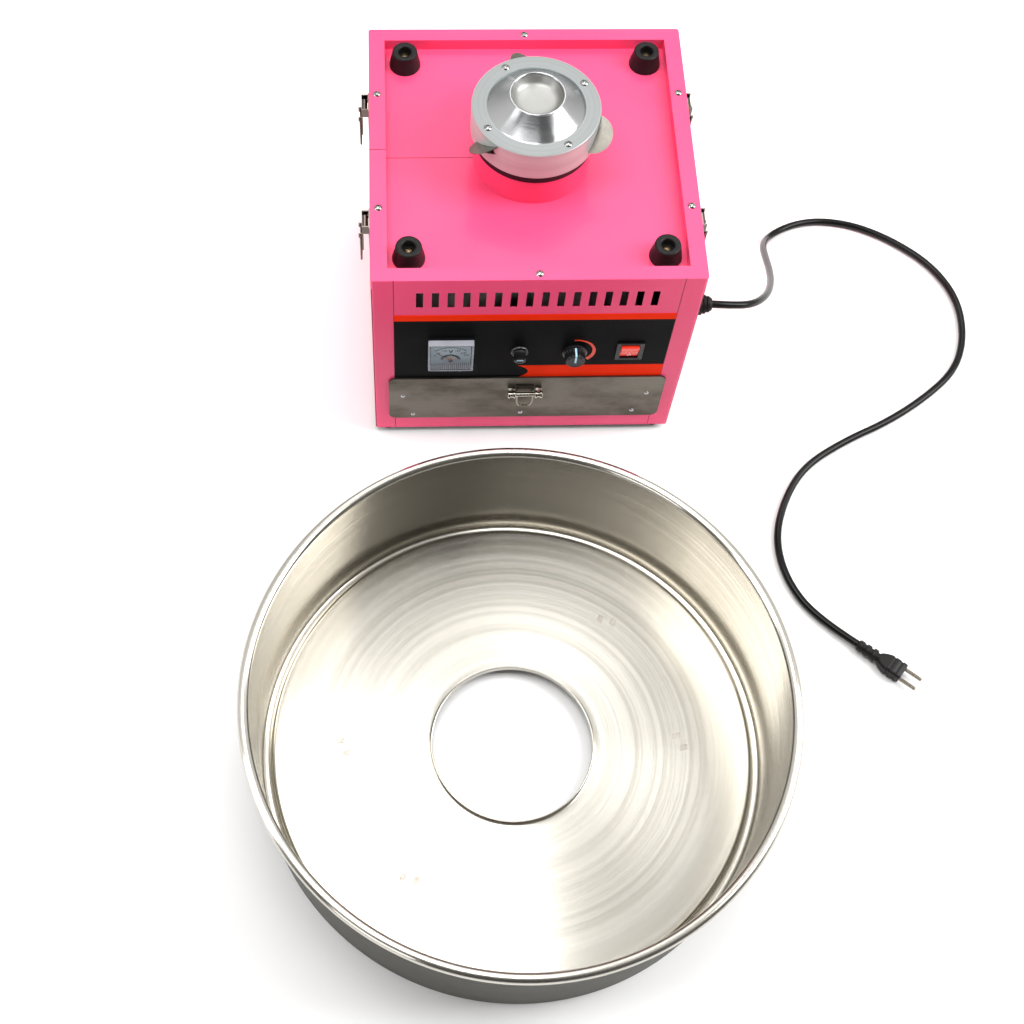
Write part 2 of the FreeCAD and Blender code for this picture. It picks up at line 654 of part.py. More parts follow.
switch_flange = about_switch("switch_flange_block", "switch_width / 2",
                             "switch_height / 2", PANEL_FACE,
                             PANEL_FACE + " - switch_flange")
switch_box = about_switch("switch_box", SWITCH_BACK_HALF, SWITCH_BACK_RISE,
                          PANEL_FACE + " - 1", PANEL_FACE + " + switch_body_depth")
switch_well = about_switch("switch_well", "switch_opening_width / 2",
                           "switch_opening_height / 2", PANEL_FACE + " - 5",
                           PANEL_FACE + " + rocker_axis + 7")
node("switch_bezel", cut("switch_body", fuse("switch_outer", switch_flange, switch_box),
                         switch_well))

rocker = doc.addObject("PartDesign::Body", "rocker")
rocker_side = sketch_on(rocker, "rocker_side", "YZ_Plane")
outline(rocker_side, [
    ("-rocker_high", "rocker_half"), ("-rocker_mid", "0"), ("-rocker_low", "-rocker_half"),
    ("1.5", "1.4 - rocker_half"), ("4", "0"), ("1.5", "rocker_half - 1.4")])
pad(rocker, rocker_side, "rocker_width", midplane=True)
node("switch_rocker", place(rocker, ("switch_x", PANEL_FACE + " + rocker_axis",
                                     "controls_level")))

# ---------------------------------------------------------------- drawer
PLATE_BACK = "(-cabinet_depth / 2 - drawer_plate_gap)"
PLATE_FACE = "(-cabinet_depth / 2 - drawer_plate_gap - drawer_plate_gauge)"

plate = doc.addObject("PartDesign::Body", "drawer_plate")
plate_face = sketch_on(plate, "drawer_plate_face", "XZ_Plane")
oblong(plate_face, ("-drawer_plate_half", "drawer_plate_bottom"),
       ("drawer_plate_half", "drawer_plate_top"))
pad(plate, plate_face, "drawer_plate_gauge")
place(plate, ("0", PLATE_BACK, "0"))
PLATE_HALF = worth("drawer_plate_half")
round_edges(plate, "drawer_plate_corners",
            lambda edge: edge.Length < 3 and abs(abs(edge.CenterOfMass.x) - PLATE_HALF) < 0.01,
            "drawer_corner")
node("drawer_front", plate)

tray_outer = block("tray_outer", ("-tray_half", "tray_half"),
                   (PLATE_BACK, PLATE_BACK + " + tray_length"), ("tray_bottom", "tray_top"))
tray_room = block("tray_room", ("gauge - tray_half", "tray_half - gauge"),
                  (PLATE_BACK + " + gauge", PLATE_BACK + " + tray_length - gauge"),
                  ("tray_bottom + gauge", "tray_top + gauge"))
node("drawer_tray", cut("tray", tray_outer, tray_room))

# Across and up, where the plate's rivet heads show.
PLATE_RIVETS = ((-131.5, 79), (-120.7, 42), (129.5, 80), (117.9, 45), (-3.8, 43))
node("drawer_screws", group("plate_rivets", *[
    rod("plate_rivet_%d" % number, "screw_head - 1.5", "1",
        (str(across), PLATE_FACE, str(up)), TO_MINUS_Y)
    for number, (across, up) in enumerate(PLATE_RIVETS)]))


def rail(sign, word):
    """An angle rail under the tray's edge, on two legs that stand on the base plate."""
    edges = ("%d * (tray_half - rail_lap)" % sign, "%d * (tray_half + 1.7)" % sign)
    run = (FRONT + " + gauge", FRONT + " + gauge + rail_length")
    top = "tray_bottom - rail_gap"
    shelf = block("rail_shelf_" + word, edges, run, (top + " - 1.2", top))
    fence = block("rail_fence_" + word, ("%d * (tray_half + 0.5)" % sign, edges[1]), run,
                  (top + " - 1.2", top + " + rail_height"))
    legs = [block("rail_leg_%s_%d" % (word, number), edges,
                  (FRONT + " + %d" % start, FRONT + " + %d" % (start + 8)),
                  ("foot_height + gauge", top + " - 1"))
            for number, start in enumerate((30, 210))]
    return fuse("rail_" + word, shelf, fence, *legs)


node("drawer_rails", group("rails", *[rail(*side) for side in SIDES]))

HINGE_Y = PLATE_FACE + " - handle_reach"
handle_plate = block("handle_plate", ("handle_x - handle_plate_half",
                                      "handle_x + handle_plate_half"),
                     (PLATE_FACE, PLATE_FACE + " - gauge"),
                     ("handle_plate_low", "handle_plate_high"))
knuckles = []
for sign, word in SIDES:
    middle = "handle_x + %d * knuckle_offset" % sign
    knuckles.append(rod("knuckle_" + word, "knuckle_radius", "knuckle_length",
                        (middle + " - knuckle_length / 2", HINGE_Y, "handle_level"),
                        TO_PLUS_X))
    knuckles.append(block("knuckle_web_" + word,
                          (middle + " - knuckle_length / 2", middle + " + knuckle_length / 2"),
                          (PLATE_FACE + " - gauge / 2", HINGE_Y),
                          ("handle_level - knuckle_radius * 0.9",
                           "handle_level + knuckle_radius * 0.9")))
hinge_bore = rod("hinge_bore", "bail_wire + running_gap", "4 * knuckle_offset",
                 ("handle_x - 2 * knuckle_offset", HINGE_Y, "handle_level"), TO_PLUS_X)
node("handle_bracket", cut("bracket", fuse("bracket_outer", handle_plate, *knuckles),
                           hinge_bore))
hinge_bar = rod("hinge_bar", "bail_wire", "2 * knuckle_offset + knuckle_length",
                ("handle_x - knuckle_offset - knuckle_length / 2", HINGE_Y, "handle_level"),
                TO_PLUS_X)
HINGE = V(worth("handle_x"), worth(HINGE_Y), worth("handle_level"))
BAIL_HALF = worth("bail_half")
BAIL_DROP = worth("bail_drop")
bail, _, _ = wire_solid("bail_loop", [
    HINGE + V(-BAIL_HALF, 0, 0), HINGE + V(-BAIL_HALF, 0, -BAIL_DROP),
    HINGE + V(BAIL_HALF, 0, -BAIL_DROP), HINGE + V(BAIL_HALF, 0, 0)],
    worth("bail_wire"), BAIL_HALF - 1)
node("handle_bail", fuse("bail", hinge_bar, bail))

# ---------------------------------------------------------------- latches
LATCHES = [(side, side_word, end, end_word) for side, side_word in SIDES
           for end, end_word in ((-1, "front"), (1, "rear"))]


def out_from_side(sign, distance):
    """A place beyond a side sheet's face, along X."""
    return "%d * (cabinet_width / 2 + %s)" % (sign, distance)


def latch_base(sign, end, name):
    centre = "%d * latch_y" % end
    back = out_from_side(sign, "0")
    skin = out_from_side(sign, "latch_base_gauge")
    plate_block = block("latch_plate_" + name, (back, skin),
                        (centre + " - latch_base_half", centre + " + latch_base_half"),
                        ("latch_base_low", "latch_base_high"))
    ears = []
    for number, hand in enumerate((-1, 1)):
        inner = "%s + %d * (latch_base_half - 3 )" % (centre, hand)
        outer = "%s + %d * (latch_base_half - 3 + latch_ear_gauge)" % (centre, hand)
        ears.append(block("latch_ear_%s_%d" % (name, number),
                          (back, out_from_side(sign, "latch_axis_out + 3")), (inner, outer),
                          ("latch_axis_level - 5", "latch_base_high")))
    pin = rod("latch_pin_" + name, "latch_pin", "2 * latch_base_half - 4",
              (out_from_side(sign, "latch_axis_out"), centre + " - latch_base_half + 2",
               "latch_axis_level"), TO_PLUS_Y)
    return fuse("latch_base_" + name, plate_block, pin, *ears)


def latch_lever(sign, end, name):
    """A tongue hung on the pin by its barrel, with two lugs for the loop."""
    centre = "%d * latch_y" % end
    barrel = rod("lever_barrel_" + name, "latch_barrel", "2 * lever_half",
                 (out_from_side(sign, "latch_axis_out"), centre + " - lever_half",
                  "latch_axis_level"), TO_PLUS_Y)
    tongue = block("lever_tongue_" + name,
                   (out_from_side(sign, "lever_out"),
                    out_from_side(sign, "lever_out + lever_gauge")),
                   (centre + " - lever_half", centre + " + lever_half"),
                   ("lever_low", "latch_axis_level"))
    tip = rod("lever_tip_" + name, "lever_gauge", "2 * lever_half",
              (out_from_side(sign, "lever_out + lever_gauge"), centre + " - lever_half",
               "lever_low"), TO_PLUS_Y)
    lugs = [block("lever_lug_%s_%d" % (name, number),
                  (out_from_side(sign, "lever_out"), out_from_side(sign, "lug_out + 2")),
                  ("%s + %d * (lever_half - lug_gauge)" % (centre, hand),
                   "%s + %d * lever_half" % (centre, hand)),
                  ("lug_level - lug_half_height", "lug_level + lug_half_height"))
            for number, hand in enumerate((-1, 1))]
    bore = rod("lever_bore_" + name, "latch_pin + running_gap", "2 * latch_base_half",
               (out_from_side(sign, "latch_axis_out"), centre + " - latch_base_half",
                "latch_axis_level"), TO_PLUS_Y)
    eyes = rod("lever_eyes_" + name, "loop_wire + running_gap", "2 * latch_base_half",
               (out_from_side(sign, "lug_out"), centre + " - latch_base_half",
                "lug_level"), TO_PLUS_Y)
    return cut("lever_" + name, fuse("lever_outer_" + name, barrel, tongue, tip, *lugs),
               bore, eyes)


def latch_loop(sign, end, name):
    """A wire loop whose inturned ends sit in the lever's lugs."""
    across = worth(out_from_side(sign, "lug_out"))
    centre = end * worth("latch_y")
    half = worth("loop_half")
    tip = worth("lever_half - lug_gauge")
    top = worth("lug_level")
    low = worth("loop_low")
    route = [V(across, centre - tip, top), V(across, centre - half, top),
             V(across, centre - half, low), V(across, centre + half, low),
             V(across, centre + half, top), V(across, centre + tip, top)]
    return wire_solid("loop_" + name, route, worth("loop_wire"), worth("loop_bend"))[0]


node("latch_bases", group("latch_fixings", *[
    latch_base(side, end, side_word + "_" + end_word)
    for side, side_word, end, end_word in LATCHES]))
for side, side_word, end, end_word in LATCHES:
    place_name = side_word + "_" + end_word
    node("latch_lever_" + place_name, latch_lever(side, end, place_name))
    node("latch_loop_" + place_name, latch_loop(side, end, place_name))

# ---------------------------------------------------------------- motor and its drive
MOTOR_TOP = "bracket_level"
MOTOR_BOTTOM = "(bracket_level - motor_height)"
AXIS = ("0", "0")

bracket_plate = block("bracket_plate", ("gauge - " + HALF_WIDTH, HALF_WIDTH + " - gauge"),
                      ("-bracket_depth", "bracket_depth"),
                      ("bracket_level", "bracket_level + bracket_gauge"))
bracket_ends = [block("bracket_end_" + word,
                      ("%d * (%s - gauge)" % (sign, HALF_WIDTH),
                       "%d * (%s - gauge - bracket_gauge)" % (sign, HALF_WIDTH)),
                      ("-bracket_depth", "bracket_depth"),
                      ("bracket_level - bracket_flange", "bracket_level + 1"))
                for sign, word in SIDES]
bracket_bore = rod("bracket_bore", "bearing_radius + 2", "4 * bracket_gauge",
                   AXIS + ("bracket_level - bracket_gauge",))
node("motor_bracket", cut("bracket_channel",
                          fuse("bracket_blank", bracket_plate, *bracket_ends),
                          bracket_bore))
node("motor_housing", lathe("housing", [
    ("bearing_radius", "0"), ("motor_radius", "0"), ("motor_radius", "motor_height"),
    ("bearing_radius", "motor_height"), ("bearing_radius", "motor_height - bell_thickness"),
    ("motor_radius - motor_wall", "motor_height - bell_thickness"),
    ("motor_radius - motor_wall", "bell_thickness"), ("bearing_radius", "bell_thickness")],
    AXIS + (MOTOR_BOTTOM,)))
node("motor_bearings", group("bearings", *[
    tubing("bearing_" + word, "bearing_radius", "shaft_radius + running_gap",
           "bell_thickness", AXIS + (level,))
    for word, level in (("low", MOTOR_BOTTOM), ("high", MOTOR_TOP + " - bell_thickness"))]))
ROTOR_LOW = MOTOR_BOTTOM + " + (motor_height - rotor_height) / 2"
node("motor_shaft", lathe("shaft", [
    ("0", "shaft_bottom"), ("shaft_radius", "shaft_bottom"), ("shaft_radius", ROTOR_LOW),
    ("rotor_radius", ROTOR_LOW), ("rotor_radius", ROTOR_LOW + " + rotor_height"),
    ("shaft_radius", ROTOR_LOW + " + rotor_height"), ("shaft_radius", "shaft_top"),
    ("0", "shaft_top")]))


def fan_blade(number, turn):
    """A flat blade, pitched about its own length and turned about the shaft."""
    blade = doc.addObject("Part::Box", "fan_blade_%d" % number)
    bind(blade, "Length", "fan_radius - fan_hub + 1")
    bind(blade, "Width", "fan_height * 1.5")
    bind(blade, "Height", "gauge")
    pose = FreeCAD.Rotation(V(0, 0, 1), turn) * FreeCAD.Rotation(V(1, 0, 0), 30)
    middle = FreeCAD.Rotation(V(0, 0, 1), turn).multVec(V(worth("fan_hub - 1"), 0, 0))
    middle.z = worth("fan_bottom + fan_height / 2")
    offset = pose.multVec(V(0, worth("fan_height * 0.75"), worth("gauge / 2")))
    blade.Placement = FreeCAD.Placement(middle - offset, pose)
    return blade


FAN_BLADES = 6
fan_hub = rod("fan_hub_rod", "fan_hub", "fan_height", AXIS + ("fan_bottom",))
fan_blades = [fan_blade(number, 360 * number / FAN_BLADES) for number in range(FAN_BLADES)]
fan_bore = rod("fan_bore", "shaft_radius", "3 * fan_height",
               AXIS + ("fan_bottom - fan_height",))
node("cooling_fan", cut("fan", fuse("fan_blank", fan_hub, *fan_blades), fan_bore))

sleeve = tubing("sleeve", "sleeve_radius", "shaft_radius", "sleeve_height",
                AXIS + ("sleeve_bottom",))
slip_pair = [tubing("slip_" + word, "slip_radius", "sleeve_radius", "slip_height",
                    AXIS + (word,)) for word in ("slip_low", "slip_high")]
node("slip_rings", group("slip_ring_set", sleeve, *slip_pair))


def brush_block(name, level, start, end):
    middle = "%s + slip_height / 2" % level
    return block(name, (start, end), ("-brush_width / 2", "brush_width / 2"),
                 (middle + " - brush_height / 2", middle + " + brush_height / 2"))


LEVELS = ("slip_low", "slip_high")
BRUSH_TIP = "slip_radius + brush_gap"
BRUSH_TAIL = "slip_radius + brush_gap + brush_length"
node("carbon_brushes", group("brushes", *[
    brush_block("brush_" + level, level, BRUSH_TIP, BRUSH_TAIL) for level in LEVELS]))
holder_main = block("holder_main", ("holder_start", "holder_end"),
                    ("-holder_half", "holder_half"), ("holder_bottom", "holder_top"))
holder_foot = block("holder_hanger", ("holder_foot", "holder_end"),
                    ("-holder_half", "holder_half"),
                    ("holder_top - 2", DECK + " - gauge"))
holder_slots = [brush_block("holder_slot_" + level, level, "holder_start - 2", BRUSH_TAIL)
                for level in LEVELS]
node("brush_holder", cut("holder_block", fuse("holder_blank", holder_main, holder_foot),
                         *holder_slots))

# ---------------------------------------------------------------- spinning head
VANE_ANGLES = [worth("vane_first") + 120 * number for number in range(3)]
RING_SCREW_ANGLES = (30, 120, 210, 300)


def round_axis(radius, angle):
    """A point's X and Y expressions, at a radius and an angle about the head's axis."""
    return ("%s * cos(%s deg)" % (radius, angle), "%s * sin(%s deg)" % (radius, angle))


def vane_turn(angle):
    return FreeCAD.Rotation(V(0, 0, 1), angle) * FreeCAD.Rotation(
        V(1, 0, 0), worth("vane_pitch"))


def vane_window(number, angle):
    """The slot in the head's wall under a vane, on the vane's slant."""
    slot = doc.addObject("Part::Box", "vane_window_%d" % number)
    bind(slot, "Length", "4 * head_wall")
    bind(slot, "Width", "window_width")
    bind(slot, "Height", "window_height")
    turn = vane_turn(angle)
    corner = V(worth("head_radius - 2 * head_wall"), 0, 0)
    middle = FreeCAD.Rotation(V(0, 0, 1), angle).multVec(corner)
    middle.z = worth("vane_height")
    offset = turn.multVec(V(0, worth("window_width / 2"), worth("window_height + 0.8")))
    slot.Placement = FreeCAD.Placement(middle - offset, turn)
    return slot


def vane(number, angle):
    """A half disc that stands out from the head's wall."""
    half = doc.addObject("Part::Cylinder", "vane_disc_%d" % number)
    bind(half, "Radius", "vane_radius")
    bind(half, "Height", "vane_gauge")
    half.Angle = 180
    turn = vane_turn(angle) * FreeCAD.Rotation(V(0, 0, 1), -90)
    place(half, round_axis("vane_centre", angle) + ("vane_height",), turn)
    drum = rod("vane_drum_%d" % number, "head_radius", "4 * vane_radius",
               AXIS + ("vane_height - 2 * vane_radius",))
    return cut("vane_%d" % number, half, drum)


RING_SCREWS = [round_axis("ring_screw_circle", angle) for angle in RING_SCREW_ANGLES]
rim_blank = lathe("head_shell", [
    ("head_radius - head_wall", "head_bottom"), ("head_radius", "head_bottom"),
    ("head_radius", "head_top - 0.6"), ("head_radius - 0.6", "head_top"),
    ("head_mouth", "head_top"), ("head_mouth", "head_top - head_plate"),
    ("head_radius - head_wall", "head_top - head_plate")])
rim_windows = [vane_window(number, angle) for number, angle in enumerate(VANE_ANGLES)]
rim_holes = [rod("ring_hole_%d" % number, "screw_hole", "4 * head_plate",
                 spot + ("head_top - 2 * head_plate",))
             for number, spot in enumerate(RING_SCREWS)]
node("head_rim", cut("head_drum", rim_blank, *(rim_windows + rim_holes)))
node("ring_screws", group("head_screws", *[
    screw("ring_screw_%d" % number, spot + ("head_top",))
    for number, spot in enumerate(RING_SCREWS)]))
node("air_vanes", group("vanes", *[vane(number, angle)
                                   for number, angle in enumerate(VANE_ANGLES)]))

FLOOR_LOW = "head_bottom + 0.5"
FLOOR_HIGH = "head_bottom + 0.5 + head_floor"
node("head_base", lathe("base_turning", [
    ("shaft_radius", "hub_bottom"), ("hub_radius", "hub_bottom"),
    ("hub_radius", FLOOR_LOW), ("head_radius - head_wall", FLOOR_LOW),
    ("head_radius - head_wall", FLOOR_HIGH), ("hub_radius", FLOOR_HIGH),
    ("hub_radius", "hub_top"), ("shaft_radius", "hub_top")]))
heater_band = tubing("heater_band", "heater_outer", "heater_inner", "heater_height",
                     AXIS + ("heater_bottom",))
heater_posts = [rod("heater_post_%d" % number, "heater_post",
                    "heater_bottom + 1 - (%s)" % FLOOR_HIGH,
                    round_axis("heater_post_circle", angle) + (FLOOR_HIGH,))
                for number, angle in enumerate(VANE_ANGLES)]
node("heater_ring", fuse("heater", heater_band, *heater_posts))

CONE_FOOT = "head_top - head_plate"
CONE_LIP = "head_top + cone_height - 1.3"
CUP_FLOOR = "head_top + cone_height - cup_depth"
node("sugar_cone", lathe("cone", [
    ("0", CUP_FLOOR + " - cone_gauge"), ("cone_rim - 11", CUP_FLOOR + " - cone_gauge"),
    ("cone_rim - 5", CUP_FLOOR + " + 2"), ("cone_rim - 1.2", CONE_LIP + " - 1.8"),
    ("head_mouth - 2.2", CONE_FOOT + " - cone_gauge"),
    ("head_mouth + 4", CONE_FOOT + " - cone_gauge"), ("head_mouth + 4", CONE_FOOT),
    ("head_mouth - 0.4", CONE_FOOT), ("cone_rim", CONE_LIP, "1.35", -1),
    ("cone_rim - 2.6", CONE_LIP), ("cone_rim - 6.2", CUP_FLOOR + " + 2.6"),
    ("cone_rim - 12", CUP_FLOOR), ("0", CUP_FLOOR)]))

# ---------------------------------------------------------------- cord, gland and plug
GLAND_TIP = "(cabinet_width / 2 + gland_length)"
node("cord_gland", lathe("gland", [
    ("0", "-gland_shank_depth"), ("gland_shank", "-gland_shank_depth"),
    ("gland_shank", "0"), ("gland_radius", "0"), ("gland_radius", "6"),
    ("gland_radius - 0.8", "12"), ("gland_neck", "gland_length"), ("0", "gland_length")],
    (HALF_WIDTH, "gland_y", "gland_level"), TO_PLUS_X))

# The cord's route by hand: out of the gland, down to the floor behind, then a wide loop
# forward to the plug.
CORD_ROUTE = (
    (186, -118, 181), (206, -119, 180), (232, -112, 171), (255, -84, 147), (271, -45, 115),
    (281, -4, 83), (287, 35, 54), (293, 69, 29), (304, 94, 10), (322, 111, 4), (348, 122, 4),
    (380, 125, 4), (420, 116, 4), (462, 92, 4), (500, 57, 4), (522, 10, 4), (521, -42, 4),
    (503, -88, 4), (463, -124, 4), (414, -156, 4), (360, -181, 4), (310, -213, 4),
    (282, -257, 4), (268, -304, 4), (275, -352, 4), (300, -394, 4.6), (339, -426, 7.3))
route = [V(*point) for point in CORD_ROUTE]
cord, cord_length, cord_radii = wire_solid("cord", route, worth("cord_radius"))
node("power_cord", cord)
print("cord length %.0f mm, bend radii %s" % (
    cord_length, " ".join("%.0f" % radius for radius in cord_radii)))

PLUG_START = route[-1]
PLUG_WAY = route[-1] - route[-2]
PLUG_WAY.normalize()
PLUG_LEVEL = V(PLUG_WAY.x, PLUG_WAY.y, 0).normalize()
PLUG_TURN = FreeCAD.Rotation(V(1, 0, 0), PLUG_LEVEL)


def at_plug(item, along, across=0):
    """Set a piece of the plug by its distance from the plug's cord end."""
    sideways = V(-PLUG_LEVEL.y, PLUG_LEVEL.x, 0)
    spot = PLUG_START + PLUG_LEVEL * along + sideways * across
    item.Placement = FreeCAD.Placement(spot, PLUG_TURN.multiply(item.Placement.Rotation))
    return item


plug_relief = doc.addObject("Part::Cone", "plug_relief")
bind(plug_relief, "Radius1", "plug_relief_start")
bind(plug_relief, "Radius2", "plug_relief_end")
bind(plug_relief, "Height", "plug_relief_length")
plug_relief.Placement.Rotation = TO_PLUS_X
at_plug(plug_relief, 0)
plug_block = doc.addObject("PartDesign::Body", "plug_block")
plug_plan = sketch_on(plug_block, "plug_plan", "XY_Plane")
outline(plug_plan, [
    ("-2", "-plug_relief_end"), ("8", "1 - plug_width / 2"), ("14", "-plug_width / 2"),
    ("plug_length - plug_relief_length - 3", "-plug_width / 2"),
    ("plug_length - plug_relief_length", "2.5 - plug_width / 2"),
    ("plug_length - plug_relief_length", "plug_width / 2 - 2.5"),
    ("plug_length - plug_relief_length - 3", "plug_width / 2"), ("14", "plug_width / 2"),
    ("8", "plug_width / 2 - 1"), ("-2", "plug_relief_end")])
pad(plug_block, plug_plan, "plug_height", midplane=True)
at_plug(plug_block, worth("plug_relief_length"))
node("plug_body", fuse("plug_moulding", plug_relief, plug_block))
plug_pins = []
for number, hand in enumerate((-0.5, 0.5)):
    pin = rod("plug_pin_%d" % number, "pin_radius", "pin_length", ("0", "0", "0"), TO_PLUS_X)
    for letter in "xyz":
        pin.setExpression("Placement.Base." + letter, None)
    plug_pins.append(at_plug(pin, worth("plug_length"), hand * worth("pin_spacing")))
node("plug_pins", group("pins", *plug_pins))

# ---------------------------------------------------------------- pan
PAN_AT = ("pan_x", "pan_y", "0")
BEAD_MIDDLE = "pan_wall_radius - 1 + pan_bead"
INNER_WALL = "pan_wall_radius - pan_gauge"
node("pan_bowl", lathe("bowl", [
    ("pan_hole", "pan_floor - pan_gauge"),
    ("pan_floor_radius - pan_gauge", "pan_floor - pan_gauge"),
    ("pan_gutter_radius - pan_gauge", "0"),
    ("pan_wall_radius - pan_corner", "0", "pan_corner", -1),
    ("pan_wall_radius", "pan_corner"),
    ("pan_wall_radius", "pan_bead_level", "pan_bead - pan_gauge", 2),
    (BEAD_MIDDLE, "pan_bead_level - pan_bead + pan_gauge"),
    (BEAD_MIDDLE, "pan_bead_level - pan_bead", "pan_bead", -2),
    (INNER_WALL, "pan_bead_level"),
    (INNER_WALL, "pan_corner", "pan_corner - pan_gauge", 1),
    ("pan_wall_radius - pan_corner", "pan_gauge"),
    ("pan_gutter_radius", "pan_gauge"), ("pan_floor_radius", "pan_floor"),
    ("pan_hole + pan_gauge", "pan_floor"), ("pan_hole + pan_gauge", "pan_hem"),
    ("pan_hole", "pan_hem")], PAN_AT))


def catch(number, angle):
    """An angle bracket under the pan's floor, for a latch loop to pull on."""
    turn = FreeCAD.Rotation(V(0, 0, 1), angle)
    foot = doc.addObject("Part::Box", "catch_foot_%d" % number)
    hook = doc.addObject("Part::Box", "catch_hook_%d" % number)
    for item, length, height in ((foot, "catch_foot", "catch_gauge"),
                                 (hook, "catch_gauge", "catch_drop")):
        bind(item, "Length", length)
        bind(item, "Width", "catch_width")
        bind(item, "Height", height)
    for item, out in ((foot, -worth("catch_foot / 2")),
                      (hook, worth("catch_foot / 2 - catch_gauge"))):
        reach = V(worth("catch_radius") + out, -worth("catch_width / 2"), 0)
        spot = V(worth("pan_x"), worth("pan_y"), worth("pan_floor - pan_gauge"))
        spot = spot + turn.multVec(reach) - V(0, 0, item.Shape.BoundBox.ZLength)
        item.Placement = FreeCAD.Placement(spot, turn)
    return foot, hook


CATCH_ANGLES = [worth("catch_turn + catch_angle"), worth("catch_turn - catch_angle"),
                worth("catch_turn + catch_angle") + 180,
                worth("catch_turn - catch_angle") + 180]
catches = []
for number, angle in enumerate(CATCH_ANGLES):
    foot, hook = catch(number, angle)
    level = worth("pan_floor - pan_gauge")
    foot.Placement.Base.z = level - worth("catch_gauge")
    hook.Placement.Base.z = level - worth("catch_drop")
    catches.append(fuse("catch_%d" % number, foot, hook))
node("pan_catches", group("catches", *catches))

# ---------------------------------------------------------------- check and write
doc.recompute()
faults = [item.Name for item in doc.Objects
          if "Invalid" in item.State or "Error" in item.State]
for label, item in parts.items():
    if item.Shape.isNull() or not item.Shape.isValid() or not item.Shape.Solids:
        faults.append(label)
if faults:
    raise RuntimeError("failed objects: " + ", ".join(faults))
os.makedirs("parts", exist_ok=True)
for label, item in parts.items():
    item.Shape.exportStep("parts/%s.step" % label)
print("%d nodes written" % len(parts))
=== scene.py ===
import json
import math
import bmesh
import bpy
from mathutils import Matrix, Vector


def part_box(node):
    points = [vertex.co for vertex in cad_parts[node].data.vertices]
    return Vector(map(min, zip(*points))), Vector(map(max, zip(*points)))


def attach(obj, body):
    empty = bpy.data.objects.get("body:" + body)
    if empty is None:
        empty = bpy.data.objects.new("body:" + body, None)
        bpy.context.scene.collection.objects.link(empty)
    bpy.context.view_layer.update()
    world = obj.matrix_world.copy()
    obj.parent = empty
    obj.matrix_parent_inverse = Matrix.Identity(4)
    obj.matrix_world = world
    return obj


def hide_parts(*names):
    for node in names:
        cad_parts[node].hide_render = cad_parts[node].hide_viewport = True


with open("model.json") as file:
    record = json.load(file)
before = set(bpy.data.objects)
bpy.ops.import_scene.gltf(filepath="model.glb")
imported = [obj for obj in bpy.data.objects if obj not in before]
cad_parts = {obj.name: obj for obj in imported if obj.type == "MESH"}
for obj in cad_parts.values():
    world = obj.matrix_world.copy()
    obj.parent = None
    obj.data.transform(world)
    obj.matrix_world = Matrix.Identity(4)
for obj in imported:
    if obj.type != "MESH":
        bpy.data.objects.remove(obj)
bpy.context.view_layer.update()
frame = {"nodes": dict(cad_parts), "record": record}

MM = 0.001
scene = bpy.context.scene
scene.view_settings.view_transform = "Standard"


# ------------------------ camera
CAMERA_PLACE = (-0.1385, -1.0161, 1.4686)
CAMERA_TURN = (0.45517, -0.02580, -0.02887)
SENSOR = 36.0
LENS = 53.48
SHIFT = (0.0575, 0.0305)

camera_data = bpy.data.cameras.new("camera")
camera_data.sensor_width = SENSOR
camera_data.lens = LENS
camera_data.shift_x = SHIFT[0]
camera_data.shift_y = SHIFT[1]
camera = bpy.data.objects.new("camera", camera_data)
camera.location = CAMERA_PLACE
camera.rotation_euler = CAMERA_TURN
scene.collection.objects.link(camera)
scene.camera = camera


# ------------------------ shader helper
def math_node(tree, how, first, second=0.0):
    """A Math node fed by sockets or plain numbers."""
    node = tree.nodes.new("ShaderNodeMath")
    node.operation = how
    for value, socket in zip((first, second), node.inputs):
        if isinstance(value, (int, float)):
            socket.default_value = value
        else:
            tree.links.new(value, socket)
    return node.outputs[0]


